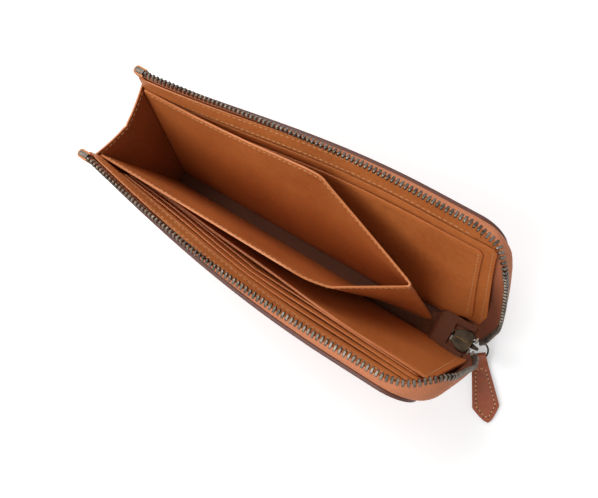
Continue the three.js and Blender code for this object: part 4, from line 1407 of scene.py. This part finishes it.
panel_depth = FIRST_DEPTH + 4 * SLOT_PITCH + PANEL_LEATHER
panel_end = RIGHT + PANEL_END - 3 * MM
panel_foot = FOOT_HEIGHT + FOOT_RISE + 4 * MM
sew("panel_stitches", layer_seam(
    FRONT, [(panel_end, PANEL_HEIGHT - SEAM_IN), (panel_end + 0.68 * PANEL_SLANT, panel_foot)],
    panel_depth + 0.05 * MM, 3 * MM))
for i, top in enumerate(SLOT_TOPS):
    depth = FIRST_DEPTH + i * SLOT_PITCH + THIN_LEATHER
    line = [(0, top - 0.8 * MM), (0, top - SLOT_STEP + 0.4 * MM)]
    sew(f"card_divider_{i + 1}", layer_seam(FRONT, line, depth), pitch=DIVIDER_PITCH)
for i, (top, end, slant) in enumerate(zip(SLIP_TOPS, SLIP_ENDS, SLIP_SLANTS)):
    depth = FIRST_DEPTH + i * SLOT_PITCH + THIN_LEATHER
    edge = RIGHT - end - SEAM_IN
    line = [(edge, top - 2 * MM), (edge + 0.82 * slant, panel_foot)]
    sew(f"slip_stitches_{i + 1}", layer_seam(BACK, line, depth))

# %% [markdown]
# The coin pocket and the gusset are sewn just under their turned edges, on the side that is seen.

# %% Seams of the coin pocket and the gusset
def sheet_seam(place, thickness, path, side):
    """A seam on a laid sheet, through shares of its length and height."""

    def at(share):
        along, up = path(share)
        step = 0.004
        a, b = place(clamp(along - step), up), place(clamp(along + step), up)
        c, d = place(along, clamp(up - step)), place(along, clamp(up + step))
        out = (b - a).cross(d - c).normalized() * side
        return place(along, up) + out * (thickness / 2 + 0.02 * MM), out

    return at


pocket_drop = SEAM_IN / POCKET_HEIGHT
for name, side in {"coin_pocket_stitches": 1, "coin_pocket_inner_stitches": -1}.items():
    sew(name, sheet_seam(pocket_place, POCKET_LEATHER, lambda s: (0.004 + 0.992 * s, 1 - pocket_drop), side))
gusset_drop = SEAM_IN / GUSSET_HEIGHT
for name, side in {"gusset_stitches": 1, "gusset_outer_stitches": -1}.items():
    sew(name, sheet_seam(gusset_place, GUSSET_LEATHER, lambda s: (0.04 + 0.92 * s, 1 - gusset_drop), side))

# %% [markdown]
# The tab's seam runs two millimetres inside its outline, on both faces, with one row across it
# below the loop.

# %% Seams of the tab
CROSS_SEAM_AT = 8 * MM
TAB_PITCH = 2.1 * MM


def tab_outline(inset):
    """Places along the tab and across it, round the outline at an inset."""
    start, end = CROSS_SEAM_AT - loop_outer, tab_tip - inset * 1.5
    one_side = []
    for i in range(40):
        distance = lerp(start, end, i / 39)
        one_side.append((distance, max(tab_half_width(distance + inset * 0.35) - inset, 0.0)))
    return one_side + [(distance, -across) for distance, across in reversed(one_side)]


for name, top in {"tab_stitches": True, "tab_under_stitches": False}.items():
    face = -loop_outer + (2 * TAB_LEATHER if top else 0.0)
    out = Vector((0, 0, 1 if top else -1))

    def tab_line(points):
        path_at = along_path(points)

        def at(share):
            distance, across = path_at(share)
            return tab_frame @ Vector((distance, across, face)), out

        return at

    sew(name, tab_line(tab_outline(SEAM_IN)), "outer_leather", "tab", TAB_PITCH, holes=True)
    reach = tab_half_width(CROSS_SEAM_AT - loop_outer) - SEAM_IN + 0.3 * MM
    row = [(CROSS_SEAM_AT - loop_outer, -reach), (CROSS_SEAM_AT - loop_outer, reach)]
    sew(name + "_across", tab_line(row), "outer_leather", "tab", TAB_PITCH)
for master in (stitch, hole):
    bpy.data.objects.remove(master)

# %% [markdown]
# ## Floor and light
# A pale floor, two broad soft lamps and an even white surround. Together they are set so that a
# colour renders about as it is written. The floor and the surround are brighter to the camera,
# straight or in the metal, than as light on the wallet.

# %% Floor and light
FLOOR_GLOW = 0.32
SURROUND = 0.34


def seen(start):
    """1 for a ray from the camera or from a gloss, 0 for all other light."""
    rays = [start.node("ShaderNodeLightPath", output=f"Is {kind} Ray") for kind in ("Camera", "Glossy")]
    return rays[0] + rays[1]


floor = fresh("floor", "plane", size=6)
floor_paint, shader, start = finish("pale floor", 0.9)
shader.inputs["Base Color"].default_value = (0.86, 0.86, 0.86, 1)
shader.inputs["Specular IOR Level"].default_value = 0.0
shader.inputs["Emission Color"].default_value = (1, 1, 1, 1)
feed(shader, "Emission Strength", seen(start) * FLOOR_GLOW)
floor.data.materials.append(floor_paint)
floor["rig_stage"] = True

world = bpy.data.worlds.new("white surround")
bpy.context.scene.world = world
world.use_nodes = True
surround = world.node_tree.nodes["Background"]
surround.inputs["Color"].default_value = (1, 1, 1, 1)
feed(surround, "Strength", seen(Signal(world.node_tree, None)) * (1 - SURROUND) + SURROUND)


def lamp(name, place, size, power):
    light = bpy.data.lights.new(name, "AREA")
    light.shape, light.size, light.energy = "SQUARE", size, power
    holder = bpy.data.objects.new(name, light)
    holder.location = place
    holder.rotation_euler = Vector(place).to_track_quat("Z", "Y").to_euler()
    bpy.context.scene.collection.objects.link(holder)


lamp("key", (-0.42, 0.3, 0.95), 0.7, 7.2)
lamp("fill", (-0.12, -0.55, 0.85), 0.7, 5.6)
bpy.context.scene.view_settings.view_transform = "Standard"

# %% [markdown]
# ## Size
# The dressed wallet has to stay within the CAD model's box, apart from a little for soft pieces.

# %% Sizes of the two boxes, and the end
boxes = {"cad": cad_box, "visual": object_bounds()}
{name: [list(corner) for corner in box] for name, box in boxes.items()}
